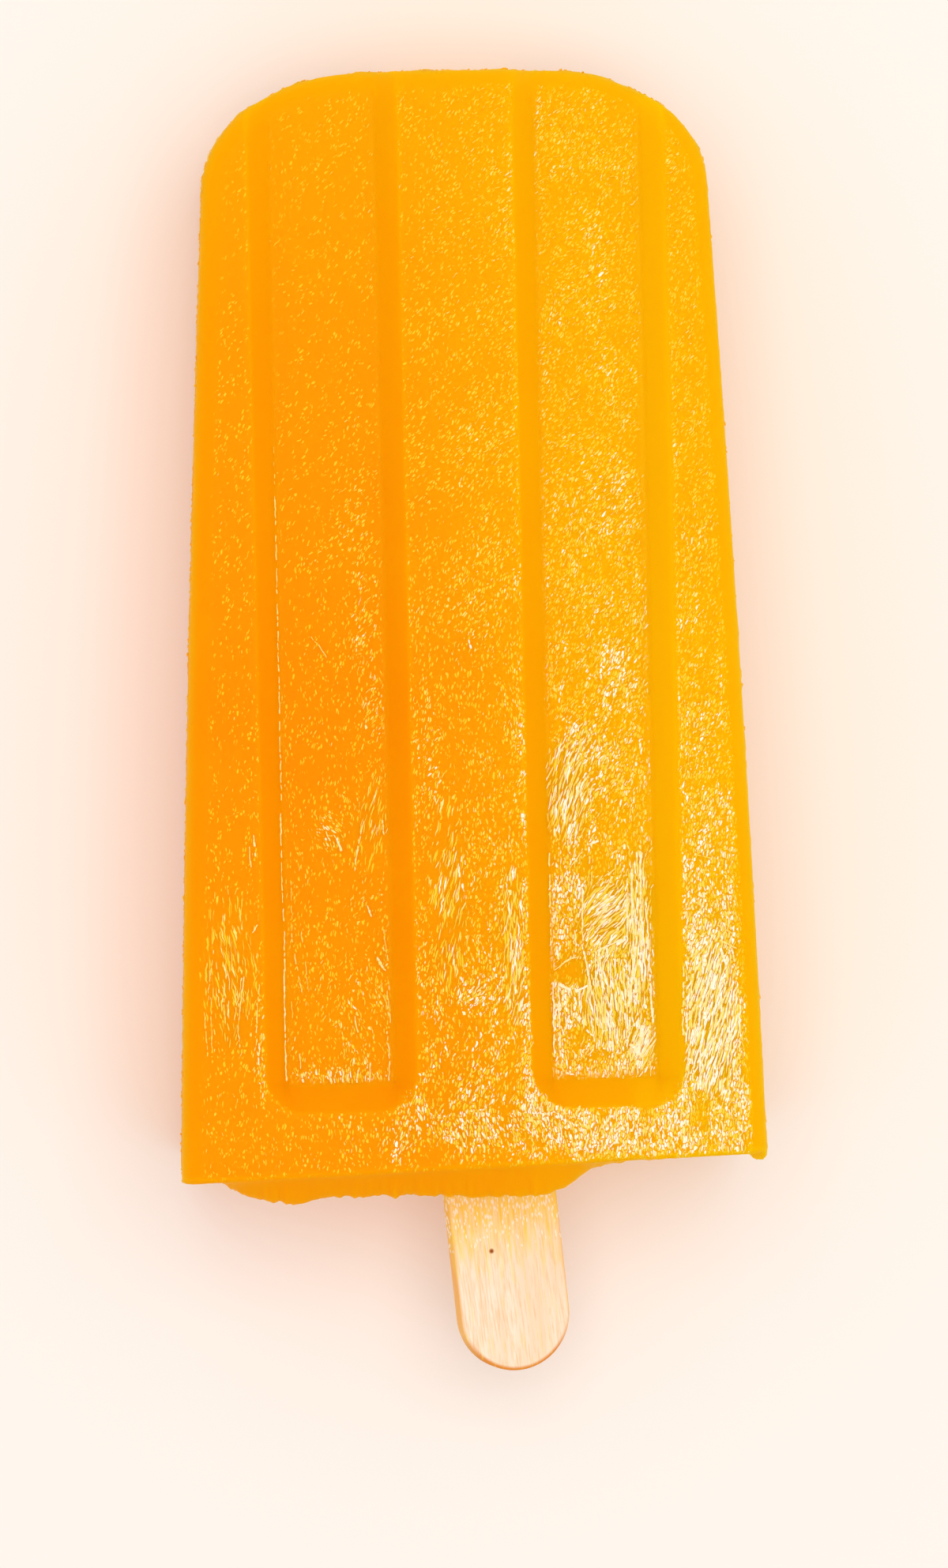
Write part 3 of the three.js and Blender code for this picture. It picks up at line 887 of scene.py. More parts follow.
def run_tree(tree, source, values, name):
    """The tree's result on a copy of the source's mesh, as a new plain object.

    The modifier's inputs are set through the sockets' identifiers."""
    carrier = add_piece("carrier", source)
    modifier = carrier.modifiers.new("nodes", "NODES")
    modifier.node_group = tree
    for item in tree.interface.items_tree:
        if item.in_out == "INPUT" and item.name in values:
            modifier[item.identifier] = values[item.name]
    depsgraph = bpy.context.evaluated_depsgraph_get()
    mesh = bpy.data.meshes.new_from_object(carrier.evaluated_get(depsgraph))
    bpy.data.objects.remove(carrier)
    mesh.name = name
    for mark in MARKS:
        if mark in mesh.attributes:
            mesh.attributes.remove(mesh.attributes[mark])
    print(name, "has", sum(len(p.vertices) - 2 for p in mesh.polygons), "triangles")
    return add_piece(name, mesh)


def needle(tree, width, length, height):
    """A pointed needle of 16 faces along Y, with its height kept as the attribute "core"."""
    ball = add(tree, "GeometryNodeMeshUVSphere", {"Segments": 4, "Rings": 3, "Radius": 1})
    ball = add(tree, MOVE, {"Geometry": ball, "Rotation": (math.pi / 2, math.pi / 4, 0)})
    place = add(tree, "GeometryNodeInputPosition")
    rise = add(tree, "ShaderNodeSeparateXYZ", (place,), "Z")
    ball = add(tree, STORE, {"Geometry": ball, "Name": "core", "Value": rise})
    size = add(tree, "ShaderNodeCombineXYZ", (width, length, height))
    size = add(tree, VECTOR, (size, (0.5, 0.5, 1)), operation="MULTIPLY")
    return add(tree, MOVE, {"Geometry": ball, "Scale": size})


def finish_crystals(tree, placed, white, material, swirl_size, reach):
    """Keeps each crystal's whiteness, makes them all real, and bends them with soft noise."""
    placed = add(
        tree, STORE, {"Geometry": placed, "Name": "bright", "Value": white}, domain="INSTANCE"
    )
    real = add(tree, "GeometryNodeRealizeInstances", (placed,))
    swirl = add(tree, NOISE, {"Scale": 1 / (swirl_size * MM), "Detail": 0}, "Color")
    swirl = add(tree, VECTOR, (swirl, (0.5, 0.5, 0.5)), operation="SUBTRACT")
    swirl = add(tree, VECTOR, (swirl, (reach * MM, reach * MM, 0)), operation="MULTIPLY")
    bent = add(tree, "GeometryNodeSetPosition", {"Geometry": real, "Offset": swirl})
    done = add(tree, "GeometryNodeSetMaterial", {"Geometry": bent, "Material": material})
    add(tree, "NodeGroupOutput", (done,), None)


# %% [markdown]
# Geometry Nodes scatter the crystals. Needles lie further apart along their length than across
# it, and an even spacing can't know that. So the slab is first squeezed along Y, the points are
# spread on it evenly, and then they are stretched back with it. At each point a needle is stood
# on the surface and turned by the lean that was stored there. It is larger and whiter where
# there is more frost, and longer in the brushed patches. At the end, soft noise bends all the
# needles a little, so that no two are alike.

# %% A tree that scatters crystals
CRYSTAL_WIDTH = 0.17
CRYSTAL_LENGTH = 0.5
CRYSTAL_HEIGHT = 0.045
CRYSTAL_SPACING = 0.21
SPREAD_ALONG = 2.4  # how much further apart they are along the slab
MOST_PER_SQUARE_METRE = 4e7

crystals, group = new_tree("grow_crystals", [
    ("Zone", "Float", 0.0), ("Spacing", "Float", CRYSTAL_SPACING * MM),
    ("Spread Along", "Float", SPREAD_ALONG), ("Width", "Float", CRYSTAL_WIDTH * MM),
    ("Length", "Float", CRYSTAL_LENGTH * MM), ("Height", "Float", CRYSTAL_HEIGHT * MM),
    ("Fullness", "Float", 1.0), ("Seed", "Int", 1), ("Material", "Material", None),
])
t = crystals
normal = add(t, "GeometryNodeInputNormal")
marked = add(
    t, STORE, {"Geometry": group["Geometry"], "Name": "up", "Value": normal},
    data_type="FLOAT_VECTOR",
)
squeeze = add(t, MATH, (1, group["Spread Along"]), operation="DIVIDE")
squeezed, stretched = (
    add(t, "ShaderNodeCombineXYZ", (1, factor, 1)) for factor in (squeeze, group["Spread Along"])
)
surface = add(t, MOVE, {"Geometry": marked, "Scale": squeezed})
amount, zone_here, lean_here, brushed_here = (
    add(t, "GeometryNodeInputNamedAttribute", {"Name": name})
    for name in ("frost_and_glint", "zone", "lean", "brushed")
)
in_zone = add(
    t, "FunctionNodeCompare", {"A": zone_here, "B": group["Zone"], "Epsilon": 0.1},
    operation="EQUAL",
)
share = add(t, MATH, (amount, group["Fullness"]), operation="MULTIPLY", use_clamp=True)
spots = add(t, "GeometryNodeDistributePointsOnFaces", {
    "Mesh": surface, "Selection": in_zone, "Distance Min": group["Spacing"],
    "Density Max": MOST_PER_SQUARE_METRE, "Density Factor": share, "Seed": group["Seed"],
}, distribute_method="POISSON")
spots = add(t, MOVE, {"Geometry": spots, "Scale": stretched})

# %% The needles' turn, size and whiteness
up = add(t, "GeometryNodeInputNamedAttribute", {"Name": "up"}, data_type="FLOAT_VECTOR")
stray, wide, long, draw = (
    add(t, "FunctionNodeRandomValue", {2: low, 3: high, "Seed": seed}, 1)
    for low, high, seed in ((-0.35, 0.35, 3), (0.55, 1.15, 4), (0.5, 1.4, 5), (0, 1, 6))
)
steady = add(t, MATH, (brushed_here, -0.8, 1), operation="MULTIPLY_ADD")
stray = add(t, MATH, (stray, steady), operation="MULTIPLY")
spin = add(t, MATH, (stray, lean_here), operation="SUBTRACT")
stand = add(t, "FunctionNodeAlignRotationToVector", {"Vector": up}, axis="Z")
about = add(t, "FunctionNodeAxisAngleToRotation", {"Axis": (0, 0, 1), "Angle": spin})
pose = add(t, "FunctionNodeRotateRotation", (stand, about), rotation_space="LOCAL")
drawn_out = add(t, MATH, (brushed_here, 1.6, 1), operation="MULTIPLY_ADD")
long = add(t, MATH, (long, drawn_out), operation="MULTIPLY")
growth = add(t, RANGE, (amount, 0.03, 0.6, 0.7, 1.2))
sizes = add(t, "ShaderNodeCombineXYZ", (wide, long, wide))
sizes = add(t, VECTOR, {0: sizes, "Scale": growth}, operation="SCALE")
shape = needle(t, group["Width"], group["Length"], group["Height"])
placed = add(t, "GeometryNodeInstanceOnPoints", {
    "Points": spots, "Instance": shape, "Rotation": pose, "Scale": sizes,
})
# each needle's whiteness: frost, and a painted glint that differs at random
draw = add(t, MATH, (draw, 2), operation="POWER")
shine = add(t, RANGE, (draw, 0, 1, 0.5, 1.9))
body_white = add(t, MATH, (amount, 0.95, 0.17), operation="MULTIPLY_ADD")
shine = add(t, MATH, (body_white, shine), operation="MULTIPLY", use_clamp=True)
finish_crystals(t, placed, shine, group["Material"], swirl_size=0.7, reach=0.3)

# %% Scatter them on the lands, the floors, the back and the sides
SIDE_GRAINS = {"Width": 0.4 * MM, "Length": 0.5 * MM, "Height": 0.13 * MM}

for name, values in (
    ("frost_on_lands", {"Zone": LAND, "Fullness": 1.8, "Seed": 5}),
    ("frost_on_floors", {"Zone": FLOOR, "Fullness": 1.8, "Seed": 8}),
    ("frost_on_back", {"Zone": BACK, "Seed": 11}),
    ("grains_on_sides", {"Zone": SIDE, "Seed": 14, **SIDE_GRAINS}),
):
    piece = run_tree(crystals, ice_mesh, {**values, "Material": frost_glint_material}, name)
    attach(piece, "root")

# %% [markdown]
# ## Strokes of frost
#
# Here and there frost has grown in lines: along the seam where the mould's core met the floor
# of the left panel, in long strokes side by side, and in single bright tufts. They don't follow
# from a rule, so each is listed: its width, the share of gaps in it, how white it is, and the
# points that it runs through. They become a wire mesh of loose edges on the front face. A second
# tree turns the wire into curves, puts a needle on every quarter of a millimetre, and leaves
# some out where the line has gaps.

# %% Where the strokes run
STROKES = [  # width, share of gaps, whiteness, then x and y of each point
    (0.2, 0.15, 0.7, -16.4, 8.1, -16.4, 17.4), (0.18, 0.25, 0.65, -16.3, 17.6, -16.3, 21),
    (0.17, 0.3, 0.6, -16.3, 22, -16.4, 24.8, -16.4, 31),
    (0.16, 0.4, 0.55, -16.3, 32.5, -16.3, 45, -16.3, 49.8),
    (0.16, 0.35, 0.55, -16.3, 50, -16.3, 53.9, -16.3, 55.3),
    (0.15, 0.35, 0.5, -16.3, 56, -16.3, 58.7), (0.12, 0.55, 0.4, -16.3, 59.5, -16.3, 63.5),
    (0.12, 0.3, 0.4, -15.6, 25.1, -15.6, 20.3),
    (0.14, 0.25, 0.5, -15.6, 20.1, -15.2, 17.4, -14.8, 15.5),
    (0.12, 0.35, 0.4, -14.5, 18.4, -14.3, 15.7), (0.12, 0.3, 0.4, -14.8, 21.3, -14.7, 20.1),
    (0.12, 0.3, 0.35, -15.8, 14.9, -15.7, 13.3), (0.13, 0.35, 0.45, -22.5, 19.4, -23, 16),
    (0.13, 0.35, 0.4, -23.4, 14.3, -23.2, 10.6), (0.13, 0.35, 0.4, -22.8, 15.3, -22.8, 11.2),
    (0.13, 0.2, 0.45, -22.1, 16, -22.1, 14.8), (0.13, 0.25, 0.45, -21.7, 16, -21.6, 13.4),
    (0.16, 0.1, 0.6, -19.9, 17.1, -20.4, 13.6), (0.14, 0.2, 0.5, -20.1, 17, -20.8, 13.6),
    (0.14, 0.2, 0.5, -20.5, 12.9, -20.4, 11.2), (0.14, 0.3, 0.45, -18.6, 16.4, -18.8, 14.2),
    (0.2, 0.15, 0.7, -18.7, 11.3, -18.8, 8.9), (0.2, 0.3, 0.5, -18.8, 14.2, -18.9, 12.2),
    (0.2, 0.1, 0.6, -18.8, 29.3, -18.7, 27.8), (0.2, 0.1, 0.65, -19.1, 20.9, -18.7, 21.6),
    (0.14, 0.2, 0.5, -19.2, 28.6, -19.1, 26.9), (0.13, 0.3, 0.4, -7.6, 20.7, -7.3, 18.2),
    (0.14, 0.2, 0.5, -7.4, 15.3, -7.2, 12.9), (0.16, 0.15, 0.6, -7.5, 11.9, -7.3, 9.6, -7.4, 7.9),
    (0.13, 0.3, 0.45, -7.8, 15.3, -7.4, 14.1),
    (0.16, 0.1, 0.6, -10.1, 25.7, -9.7, 28.1, -9.2, 30.2), (0.2, 0.2, 0.6, -7.5, 30.3, -7.4, 29.3),
    (0.3, 0, 0.75, -11.5, 28.8, -11.2, 28), (0.2, 0.2, 0.6, -12.6, 29.9, -12.2, 28.9),
    (0.3, 0.1, 0.65, -8.1, 18.3, -7.6, 17.4), (0.22, 0, 0.75, -8.9, 22.8, -8.7, 22.2),
    (0.16, 0.2, 0.55, -15.2, 10, -15.1, 9.1), (0.3, 0, 0.8, -15, 8.3, -14.9, 7.9),
    (0.25, 0, 0.75, -12.7, 8.6, -12.5, 7.9), (0.18, 0, 0.6, -11.4, 8.5, -11.4, 7.8),
    (0.3, 0, 0.75, -11, 8.2, -11, 7.9), (0.18, 0, 0.7, -10.1, 8.6, -10.2, 7.8),
    (0.16, 0.1, 0.65, -9, 9.2, -9.1, 7.8), (0.2, 0, 0.65, -16.4, 9.2, -16.4, 8.1),
    (0.2, 0.1, 0.6, -10.3, 13.2, -10.1, 12.1), (0.13, 0.1, 0.5, -12.7, 45.7, -12.2, 44.9),
    (0.12, 0.1, 0.4, -13.3, 46.4, -13, 46), (0.18, 0.35, 0.6, 7, 27.1, 7, 18.9),
    (0.16, 0.35, 0.6, 10.6, 27.3, 10.4, 25.8), (0.16, 0.4, 0.5, 10.8, 26.5, 10.6, 24.2),
    (0.18, 0.1, 0.8, 9.8, 24.2, 9.8, 19.2), (0.2, 0, 0.8, 13.7, 23.5, 13.7, 19.5),
    (0.3, 0.05, 0.8, 14.2, 25.5, 14.2, 20.2), (0.3, 0.05, 0.8, 15, 27.1, 14.9, 18.8),
    (0.35, 0, 0.85, 14.4, 18.8, 13.7, 13.8), (0.3, 0, 0.8, 14.1, 18.1, 14.4, 15),
    (0.18, 0.05, 0.85, 9.9, 18.5, 10.3, 15.8, 10.8, 13.9), (0.16, 0.1, 0.75, 10.9, 18.4, 11, 15.6),
    (0.18, 0.1, 0.8, 11.2, 18.9, 11.4, 16.3), (0.2, 0.1, 0.8, 11.9, 18.7, 12, 16.8),
    (0.26, 0.05, 0.9, 12.2, 15, 12, 10.6), (0.14, 0.1, 0.65, 11.5, 14.4, 11.3, 11.3),
    (0.14, 0.1, 0.65, 11.7, 14.5, 11.6, 11.3), (0.25, 0.1, 0.85, 15.6, 16.3, 15.8, 12.4),
    (0.5, 0, 0.85, 14.9, 11.9, 14.4, 9.5), (0.5, 0, 0.85, 13.9, 10.3, 14.8, 9.3),
    (0.2, 0.1, 0.8, 7.1, 15.8, 7.1, 9.6), (0.2, 0.15, 0.8, 7.6, 15.7, 7.6, 9.6),
    (0.24, 0, 0.85, 7.5, 18.9, 7.6, 18.1), (0.18, 0.2, 0.6, 7.4, 17.1, 8.3, 17.8, 9.5, 18.2),
    (0.35, 0, 1, 7.8, 15.7, 8.5, 15.3), (0.35, 0, 1, 9.2, 15.2, 10, 15.5),
    (0.35, 0, 0.95, 10.9, 28.1, 11.2, 28.2), (0.35, 0, 1, 12.9, 19.2, 13.4, 19.5),
    (0.2, 0, 0.8, 11.2, 18.7, 13.1, 19.5), (0.3, 0, 1, 12.4, 23.3, 12.6, 23.4),
    (0.2, 0.1, 0.8, 11.4, 22.5, 12.5, 23.3), (0.16, 0.1, 0.7, 10.1, 19.8, 12.1, 22.6),
    (0.14, 0.1, 0.6, 10.3, 20.3, 11.8, 22.5), (0.14, 0.15, 0.55, 10.9, 24.4, 12.7, 25.7),
    (0.16, 0.1, 0.65, 8.9, 26, 9.8, 27.2), (0.18, 0, 0.7, 9.1, 20.3, 9.2, 19.2),
    (0.3, 0, 0.95, 10.1, 11.6, 10.4, 11.3), (0.3, 0, 0.85, 8.2, 8, 8.6, 7.9),
    (0.16, 0, 0.6, 15.5, 8.7, 15.5, 7.7), (0.3, 0, 1, 0.3, 45.9, 0.4, 45.5),
    (0.34, 0, 1, 4.6, 30.7, 4.6, 30.3), (0.2, 0, 0.8, 19.1, 20.2, 19.5, 21.1),
    (0.35, 0, 1, 20.3, 18.1, 20.2, 17.4), (0.3, 0, 0.9, 20.8, 16.7, 19.8, 13.8),
    (0.35, 0, 0.95, 21.7, 18.6, 22.1, 17.4), (0.25, 0, 0.8, 22.7, 18.4, 22.8, 17.7),
    (0.24, 0.3, 0.65, 22.2, 16, 20.7, 10.9), (0.35, 0, 0.9, 20.8, 10.9, 19.5, 9),
    (0.26, 0.3, 0.65, 19.2, 16.4, 18.8, 12.7), (0.24, 0.35, 0.65, 18.4, 17.1, 18.2, 10.9),
    (0.24, 0.3, 0.65, 19.6, 16.1, 19, 13), (0.3, 0, 1, 20.2, 13.5, 20.1, 12.8),
    (0.25, 0, 0.85, 19.1, 18.2, 19.3, 18.8), (0.2, 0.4, 0.45, 21.3, 20.9, 22.6, 20.1),
    (0.22, 0.3, 0.55, 21.8, 19.4, 22.9, 18.8), (0.16, 0.5, 0.3, 20, 26.9, 21.9, 26.4),
    (0.4, 0, 0.8, 22.4, 11.2, 22, 10), (0.16, 0.05, 0.75, 18.7, 9.7, 18.5, 8.4),
]
STROKE_LIFT = 0.02  # how far the lines lie above the face

wire_points, wire_edges, wire_width, wire_gaps, wire_white = [], [], [], [], []
for width, gaps, white, *line in STROKES:
    for n in range(0, len(line) - 2, 2):
        wire_edges.append((len(wire_points) + n // 2, len(wire_points) + n // 2 + 1))
    points = np.array(line).reshape(-1, 2)
    z = face_height(*points.T, 0) + STROKE_LIFT
    wire_points += lay(np.column_stack([points, z])).tolist()
    wire_width += [width / CRYSTAL_WIDTH] * len(points)
    wire_gaps += [gaps] * len(points)
    wire_white += [white] * len(points)
wire = new_mesh("wire", wire_points, [], wire_edges)
for name, values in (("thick", wire_width), ("gaps", wire_gaps), ("white", wire_white)):
    wire.attributes.new(name, "FLOAT", "POINT").data.foreach_set("value", values)
print("strokes:", len(STROKES))

# %% A tree that grows needles along lines
NEEDLE_STEP = 0.26

line_tree, group = new_tree("grow_along_lines", [
    ("Step", "Float", NEEDLE_STEP * MM), ("Width", "Float", CRYSTAL_WIDTH * MM),
    ("Length", "Float", 1.9 * NEEDLE_STEP * MM), ("Height", "Float", 1.1 * CRYSTAL_HEIGHT * MM),
    ("Seed", "Int", 1), ("Material", "Material", None),
])
t = line_tree
curves = add(t, "GeometryNodeMeshToCurve", (group["Geometry"],))
spots = add(
    t, "GeometryNodeCurveToPoints", {"Curve": curves, "Length": group["Step"]}, None,
    mode="LENGTH",
)
gaps_here, thick, white_here = (
    add(t, "GeometryNodeInputNamedAttribute", {"Name": name})
    for name in ("gaps", "thick", "white")
)
draw, wide, glint = (
    add(t, "FunctionNodeRandomValue", {2: low, 3: high, "Seed": seed}, 1)
    for low, high, seed in ((0, 1, group["Seed"]), (0.7, 1.25, 21), (0.8, 1.15, 22))
)
kept = add(t, "FunctionNodeCompare", {"A": draw, "B": gaps_here}, operation="GREATER_THAN")
turn_to = add(
    t, "FunctionNodeAlignRotationToVector", {"Vector": spots["Tangent"]}, axis="Y", pivot_axis="Z"
)
wide = add(t, MATH, (wide, thick), operation="MULTIPLY")
size = add(t, "ShaderNodeCombineXYZ", (wide, 1, wide))
shape = needle(t, group["Width"], group["Length"], group["Height"])
placed = add(t, "GeometryNodeInstanceOnPoints", {
    "Points": spots["Points"], "Selection": kept, "Instance": shape, "Rotation": turn_to,
    "Scale": size,
})
glint = add(t, MATH, (glint, white_here), operation="MULTIPLY", use_clamp=True)
finish_crystals(t, placed, glint, group["Material"], swirl_size=0.5, reach=0.2)

strokes = run_tree(line_tree, wire, {"Seed": 4, "Material": frost_glint_material}, "frost_strokes")
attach(strokes, "root")

# %% [markdown]
# ## The birch stick
#
# The stick is stamped from veneer: a rectangle with half-round ends and the same thickness
# all over, so its shape follows a rule and a tree builds it. A rectangle's corners are filleted
# until they meet, the outline is filled and extruded, and a second face closes it below. A
# Bevel modifier breaks the edges, as tumbling does to the real ones. Then it is turned into its
# place: it leans a little to the left, and is twisted about its length.

# %% A tree that cuts the stick
STICK_LENGTH = 93
STICK_WIDTH = 10
STICK_THICKNESS = 2
STICK_EDGE = 0.25
STICK_SHOWN = 19.35
STICK_OFFSET = 2.25
STICK_LEAN = math.radians(5.3)
STICK_TWIST = math.radians(12.3)
END_STEPS = 24
END_ROUNDING = 0.4999  # of the width: at a full half, both ends' corners would fall together

stick_tree, group = new_tree("cut_stick", [
    ("Length", "Float", STICK_LENGTH * MM), ("Width", "Float", STICK_WIDTH * MM),
    ("Thickness", "Float", STICK_THICKNESS * MM), ("Steps", "Int", END_STEPS),
    ("Material", "Material", None),
])
t = stick_tree
box = add(t, "GeometryNodeCurvePrimitiveQuadrilateral", {
    "Width": group["Width"], "Height": group["Length"],
})
half = add(t, MATH, (group["Width"], END_ROUNDING), operation="MULTIPLY")
outline = add(
    t, "GeometryNodeFilletCurve", {"Curve": box, "Radius": half, "Count": group["Steps"]},
    mode="POLY",
)
below = add(t, "GeometryNodeFillCurve", {"Curve": outline}, mode="NGONS")
raised = add(t, "GeometryNodeExtrudeMesh", {
    "Mesh": below, "Offset Scale": group["Thickness"], "Individual": False,
}, mode="FACES")
below = add(t, "GeometryNodeFlipFaces", (below,))
join = add(t, "GeometryNodeJoinGeometry")
for part in (raised, below):
    t.links.new(part, join.node.inputs[0])
whole = add(t, "GeometryNodeMergeByDistance", {"Geometry": join, "Distance": 0.01 * MM})
down = add(t, MATH, (group["Thickness"], -0.5), operation="MULTIPLY")
down = add(t, "ShaderNodeCombineXYZ", {2: down})
whole = add(t, MOVE, {"Geometry": whole, "Translation": down})
done = add(t, "GeometryNodeSetMaterial", {"Geometry": whole, "Material": group["Material"]})
add(t, "NodeGroupOutput", (done,), None)

# %% [markdown]
# ## Birch
#
# Birch is pale and close-grained: fine streaks run the length of the stick, with broad soft
# bands under them. The cut sides are coloured browner than the face. Where it leaves the ice,
# juice has soaked in along the grain and frost has grown on the wet wood. One dark dot is a knot
# no bigger than a grain of sand. A brown line round the rim of the end, fainter along the long
# edges, is painted shade where the edge turns down towards the board.
#
# The pattern needs the stick's own axes. A Mapping node of the Texture type undoes the move,
# the turn and the scale of its place, so it gives millimetres across, along and through the
# stick, counted from where it enters the mouth.

# %% Birch material: the stick's own axes
taper = math.atan2((MOUTH_THICKNESS - TIP_THICKNESS) / 2, LENGTH)
stick_turn = (
    Matrix.Rotation(-taper, 4, "X")
    @ Matrix.Rotation(STICK_LEAN, 4, "Z")
    @ Matrix.Rotation(STICK_TWIST, 4, "Y")
)
stick_entry = Vector((STICK_OFFSET, MOUTH_Y, MOUTH_THICKNESS / 2)) * MM
stick_centre = STICK_LENGTH / 2 - STICK_SHOWN  # of its length, past the mouth
stick_place = Matrix.Translation(stick_entry) @ stick_turn
stick_place = stick_place @ Matrix.Translation((0, stick_centre * MM, 0))

birch, tree = new_material("pale_birch")
position = add(tree, "ShaderNodeTexCoord", out="Object")
in_stick = add(tree, "ShaderNodeMapping", {
    "Vector": position, "Location": stick_entry, "Rotation": stick_turn.to_euler(),
    "Scale": (MM, MM, MM),
}, vector_type="TEXTURE")
axes = add(tree, "ShaderNodeSeparateXYZ", (in_stick,), None)
across, through = (add(tree, MATH, (axes[n],), operation="ABSOLUTE") for n in "XZ")

# %% Birch material: grain
BIRCH_PALE = "#FFECD4"
BIRCH_STREAK = "#F2C797"
FIBRE_SIZE = (0.13, 2.2, 0.13)  # in mm across, along and through the stick
BAND_SIZE = (1.6, 16, 1.6)

fibres_at, bands_at = (
    add(tree, VECTOR, (in_stick, size), operation="DIVIDE") for size in (FIBRE_SIZE, BAND_SIZE)
)
fibres = add(tree, NOISE, {"Vector": fibres_at, "Scale": 1, "Detail": 3, "Roughness": 0.6})
bands = add(tree, NOISE, {"Vector": bands_at, "Scale": 1, "Detail": 2})
streak = add(tree, RANGE, (fibres, 0.38, 0.68, 0, 0.9))
band = add(tree, RANGE, (bands, 0.42, 0.7, 0, 0.6))
grain = add(tree, MATH, (streak, band), operation="MAXIMUM")
wood = add(tree, MIX, {0: grain, 6: linear(BIRCH_PALE), 7: linear(BIRCH_STREAK)}, **RGBA)

# %% Birch material: cut sides, painted rim shade and knot
BIRCH_CUT = "#FFC970"
# painted shade: the brown line round the stick's rim
BIRCH_RIM_SHADE = "#E2861C"
ARC_MIDDLE = (0, STICK_WIDTH / 2 - STICK_SHOWN, 0)
KNOT_BROWN = "#A0500C"
KNOT = (-1.58, -8.45, 0)
KNOT_RADIUS = 0.29

flat = add(tree, VECTOR, (in_stick, (1, 1, 0)), operation="MULTIPLY")
from_arc, from_knot = (
    add(tree, VECTOR, (flat, spot), "Value", operation="DISTANCE") for spot in (ARC_MIDDLE, KNOT)
)
cut = add(tree, RANGE, (through, 0.985, 0.85, 0, 0.95))
# painted shade round the end's rim and along the long edges
rim = add(tree, RANGE, (from_arc, 4.58, 4.82, 0, 0.95))
at_end = add(tree, RANGE, (axes["Y"], -15, -18))
rim = add(tree, MATH, (rim, at_end), operation="MULTIPLY")
shaded_side_edge = add(tree, RANGE, (across, 4.7, 4.9, 0, 0.2))
rim = add(tree, MATH, (rim, shaded_side_edge), operation="MAXIMUM")
knot = add(tree, RANGE, (from_knot, KNOT_RADIUS, 0.4 * KNOT_RADIUS))

# %% Birch material: juice stain and frost
STAIN = "#FFDE5C"
STAIN_STREAK = "#FBC848"
STAIN_LENGTH = 11.5
WET_LENGTH = 3.2  # of it is soaked through
SPECK_FROST = "#FFF6DE"
RUN_SIZE = (0.28, 3, 1)
SPECK_SIZE = (0.14, 0.45, 0.45)

runs_at, specks_at = (
    add(tree, VECTOR, (in_stick, size), operation="DIVIDE") for size in (RUN_SIZE, SPECK_SIZE)
)
soaked = add(tree, RANGE, (axes["Y"], -STAIN_LENGTH, -WET_LENGTH))
runs = add(tree, NOISE, {"Vector": runs_at, "Scale": 1, "Detail": 3})
runs = add(tree, RANGE, (runs, 0.3, 0.7, -0.4, 0.4))
soaked = add(tree, MATH, (soaked, runs), operation="ADD")
stain = add(tree, RANGE, (soaked, 0.1, 0.95, 0, 0.95))
stain_colour = add(tree, MIX, {0: grain, 6: linear(STAIN), 7: linear(STAIN_STREAK)}, **RGBA)
specks = add(tree, "ShaderNodeTexVoronoi", {"Vector": specks_at, "Scale": 1}, None)
speck_draw = add(tree, "ShaderNodeSeparateXYZ", (specks["Color"],))
speck_share = add(tree, RANGE, (axes["Y"], -8.6, -WET_LENGTH, 0, 0.75))
speck = add(tree, MATH, (speck_draw, speck_share), operation="LESS_THAN")
speck_core = add(tree, RANGE, (specks["Distance"], 0.6, 0.3))
speck = add(tree, MATH, (speck, speck_core), operation="MULTIPLY")
for share, colour in (
    (cut, linear(BIRCH_CUT)), (rim, linear(BIRCH_RIM_SHADE)), (stain, stain_colour),
    (speck, linear(SPECK_FROST)), (knot, linear(KNOT_BROWN)),
):
    wood = add(tree, MIX, {0: share, 6: wood, 7: colour}, **RGBA)
relief = add(tree, "ShaderNodeBump", {"Height": fibres, "Distance": 0.03 * MM, "Strength": 0.5})
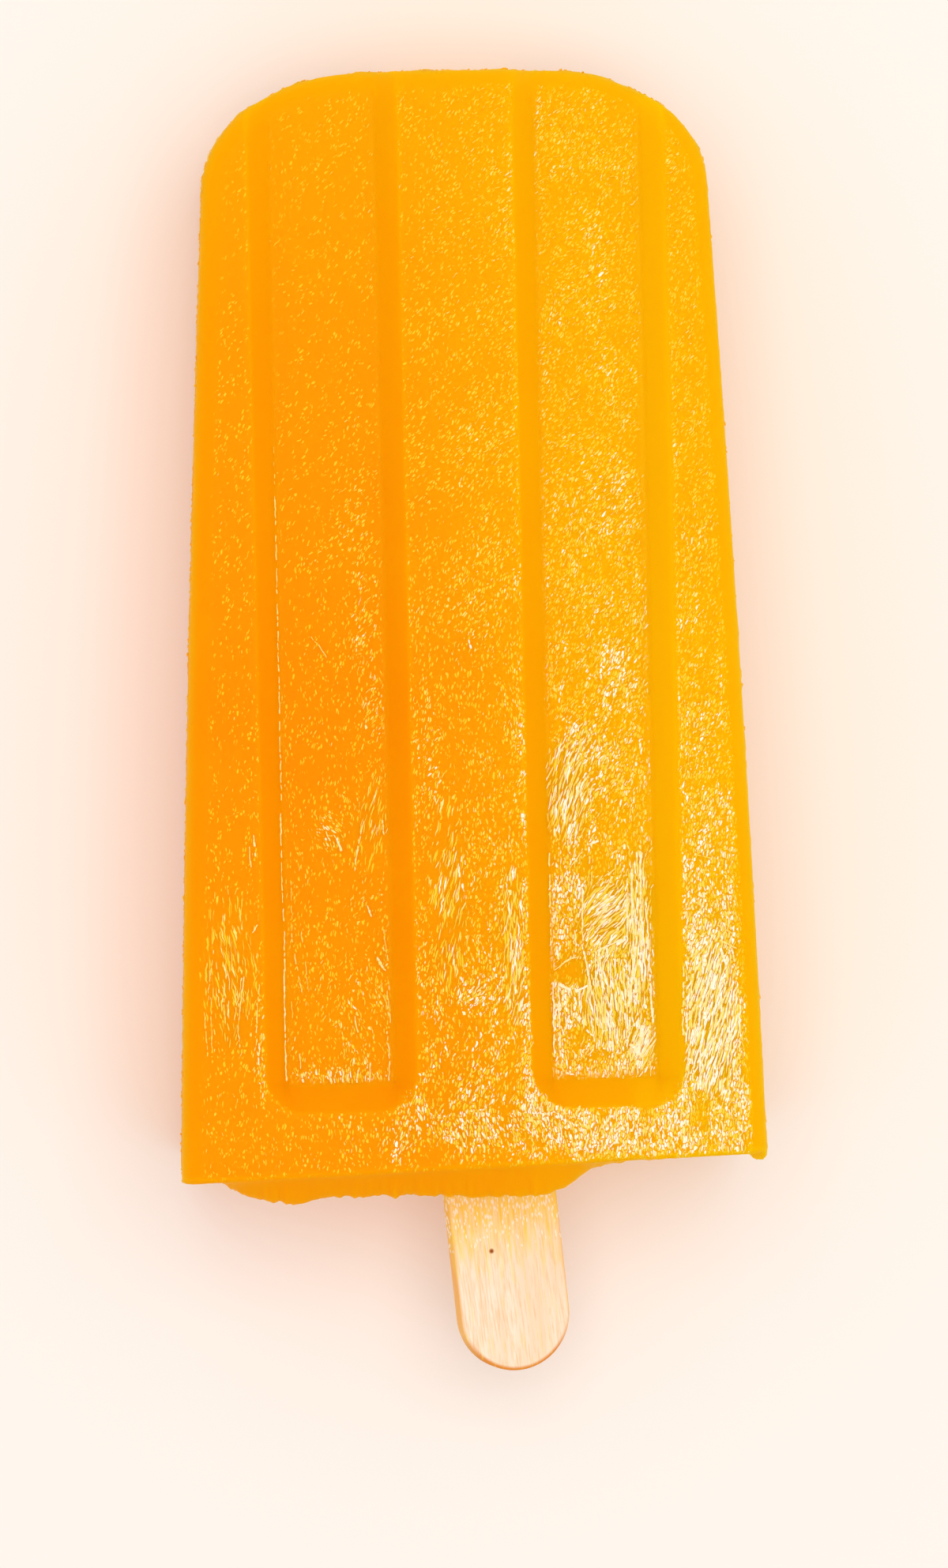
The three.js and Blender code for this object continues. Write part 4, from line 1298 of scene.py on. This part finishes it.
shader = add(tree, "ShaderNodeBsdfPrincipled", {
    "Base Color": wood, "Roughness": 0.65, "Normal": relief, "Specular IOR Level": 0.2,
})
add(tree, "ShaderNodeOutputMaterial", (shader,), None)

# %% Cut the stick and put it in its place
stick = run_tree(stick_tree, bpy.data.meshes.new("blank"), {"Material": birch}, "birch_stick")
stick.data.transform(stick_place)
stick.data.shade_flat()
edge = stick.modifiers.new("edge", "BEVEL")
edge.width = STICK_EDGE * MM
edge.segments = 4
edge.limit_method = "ANGLE"
edge.angle_limit = math.radians(50)
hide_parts("wooden_stick")
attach(stick, "root")

# %% [markdown]
# ## Stage and light
#
# The pop lies on plain pale board under a bright, even sky, with one wide soft lamp straight
# above it. A lamp at one side would shade the walls of the panels on that side only.

# %% Stage and light
BOARD_HALF = 900
BOARD_WHITE = "#F8EFE7"
SKY_STRENGTH = 0.76
LAMP_SIZE = 0.7  # in metres
LAMP_POWER = 2.75  # in watts
LAMP_PLACE = (0.02, 0.1, 0.8)  # in metres

corners = [(-1, -1), (1, -1), (1, 1), (-1, 1)]
board_mesh = new_mesh(
    "board", [(BOARD_HALF * x, BOARD_HALF * y, 0) for x, y in corners], [(0, 1, 2, 3)]
)
board = add_piece("board", board_mesh)
paper, tree = new_material("warm_white_board")
shader = add(
    tree, "ShaderNodeBsdfPrincipled", {"Base Color": linear(BOARD_WHITE), "Roughness": 0.8}
)
add(tree, "ShaderNodeOutputMaterial", (shader,), None)
board_mesh.materials.append(paper)

world = bpy.data.worlds.new("studio")
bpy.context.scene.world = world
world.use_nodes = True
sky = world.node_tree.nodes["Background"].inputs
sky["Color"].default_value = (1, 1, 1, 1)
sky["Strength"].default_value = SKY_STRENGTH
lamp = bpy.data.lights.new("soft_lamp", "AREA")
lamp.size = LAMP_SIZE
lamp.energy = LAMP_POWER
soft_lamp = bpy.data.objects.new("soft_lamp", lamp)
soft_lamp.location = LAMP_PLACE
soft_lamp.rotation_euler = (-soft_lamp.location).to_track_quat("-Z", "Y").to_euler()
bpy.context.scene.collection.objects.link(soft_lamp)
bpy.context.scene.view_settings.view_transform = "Standard"
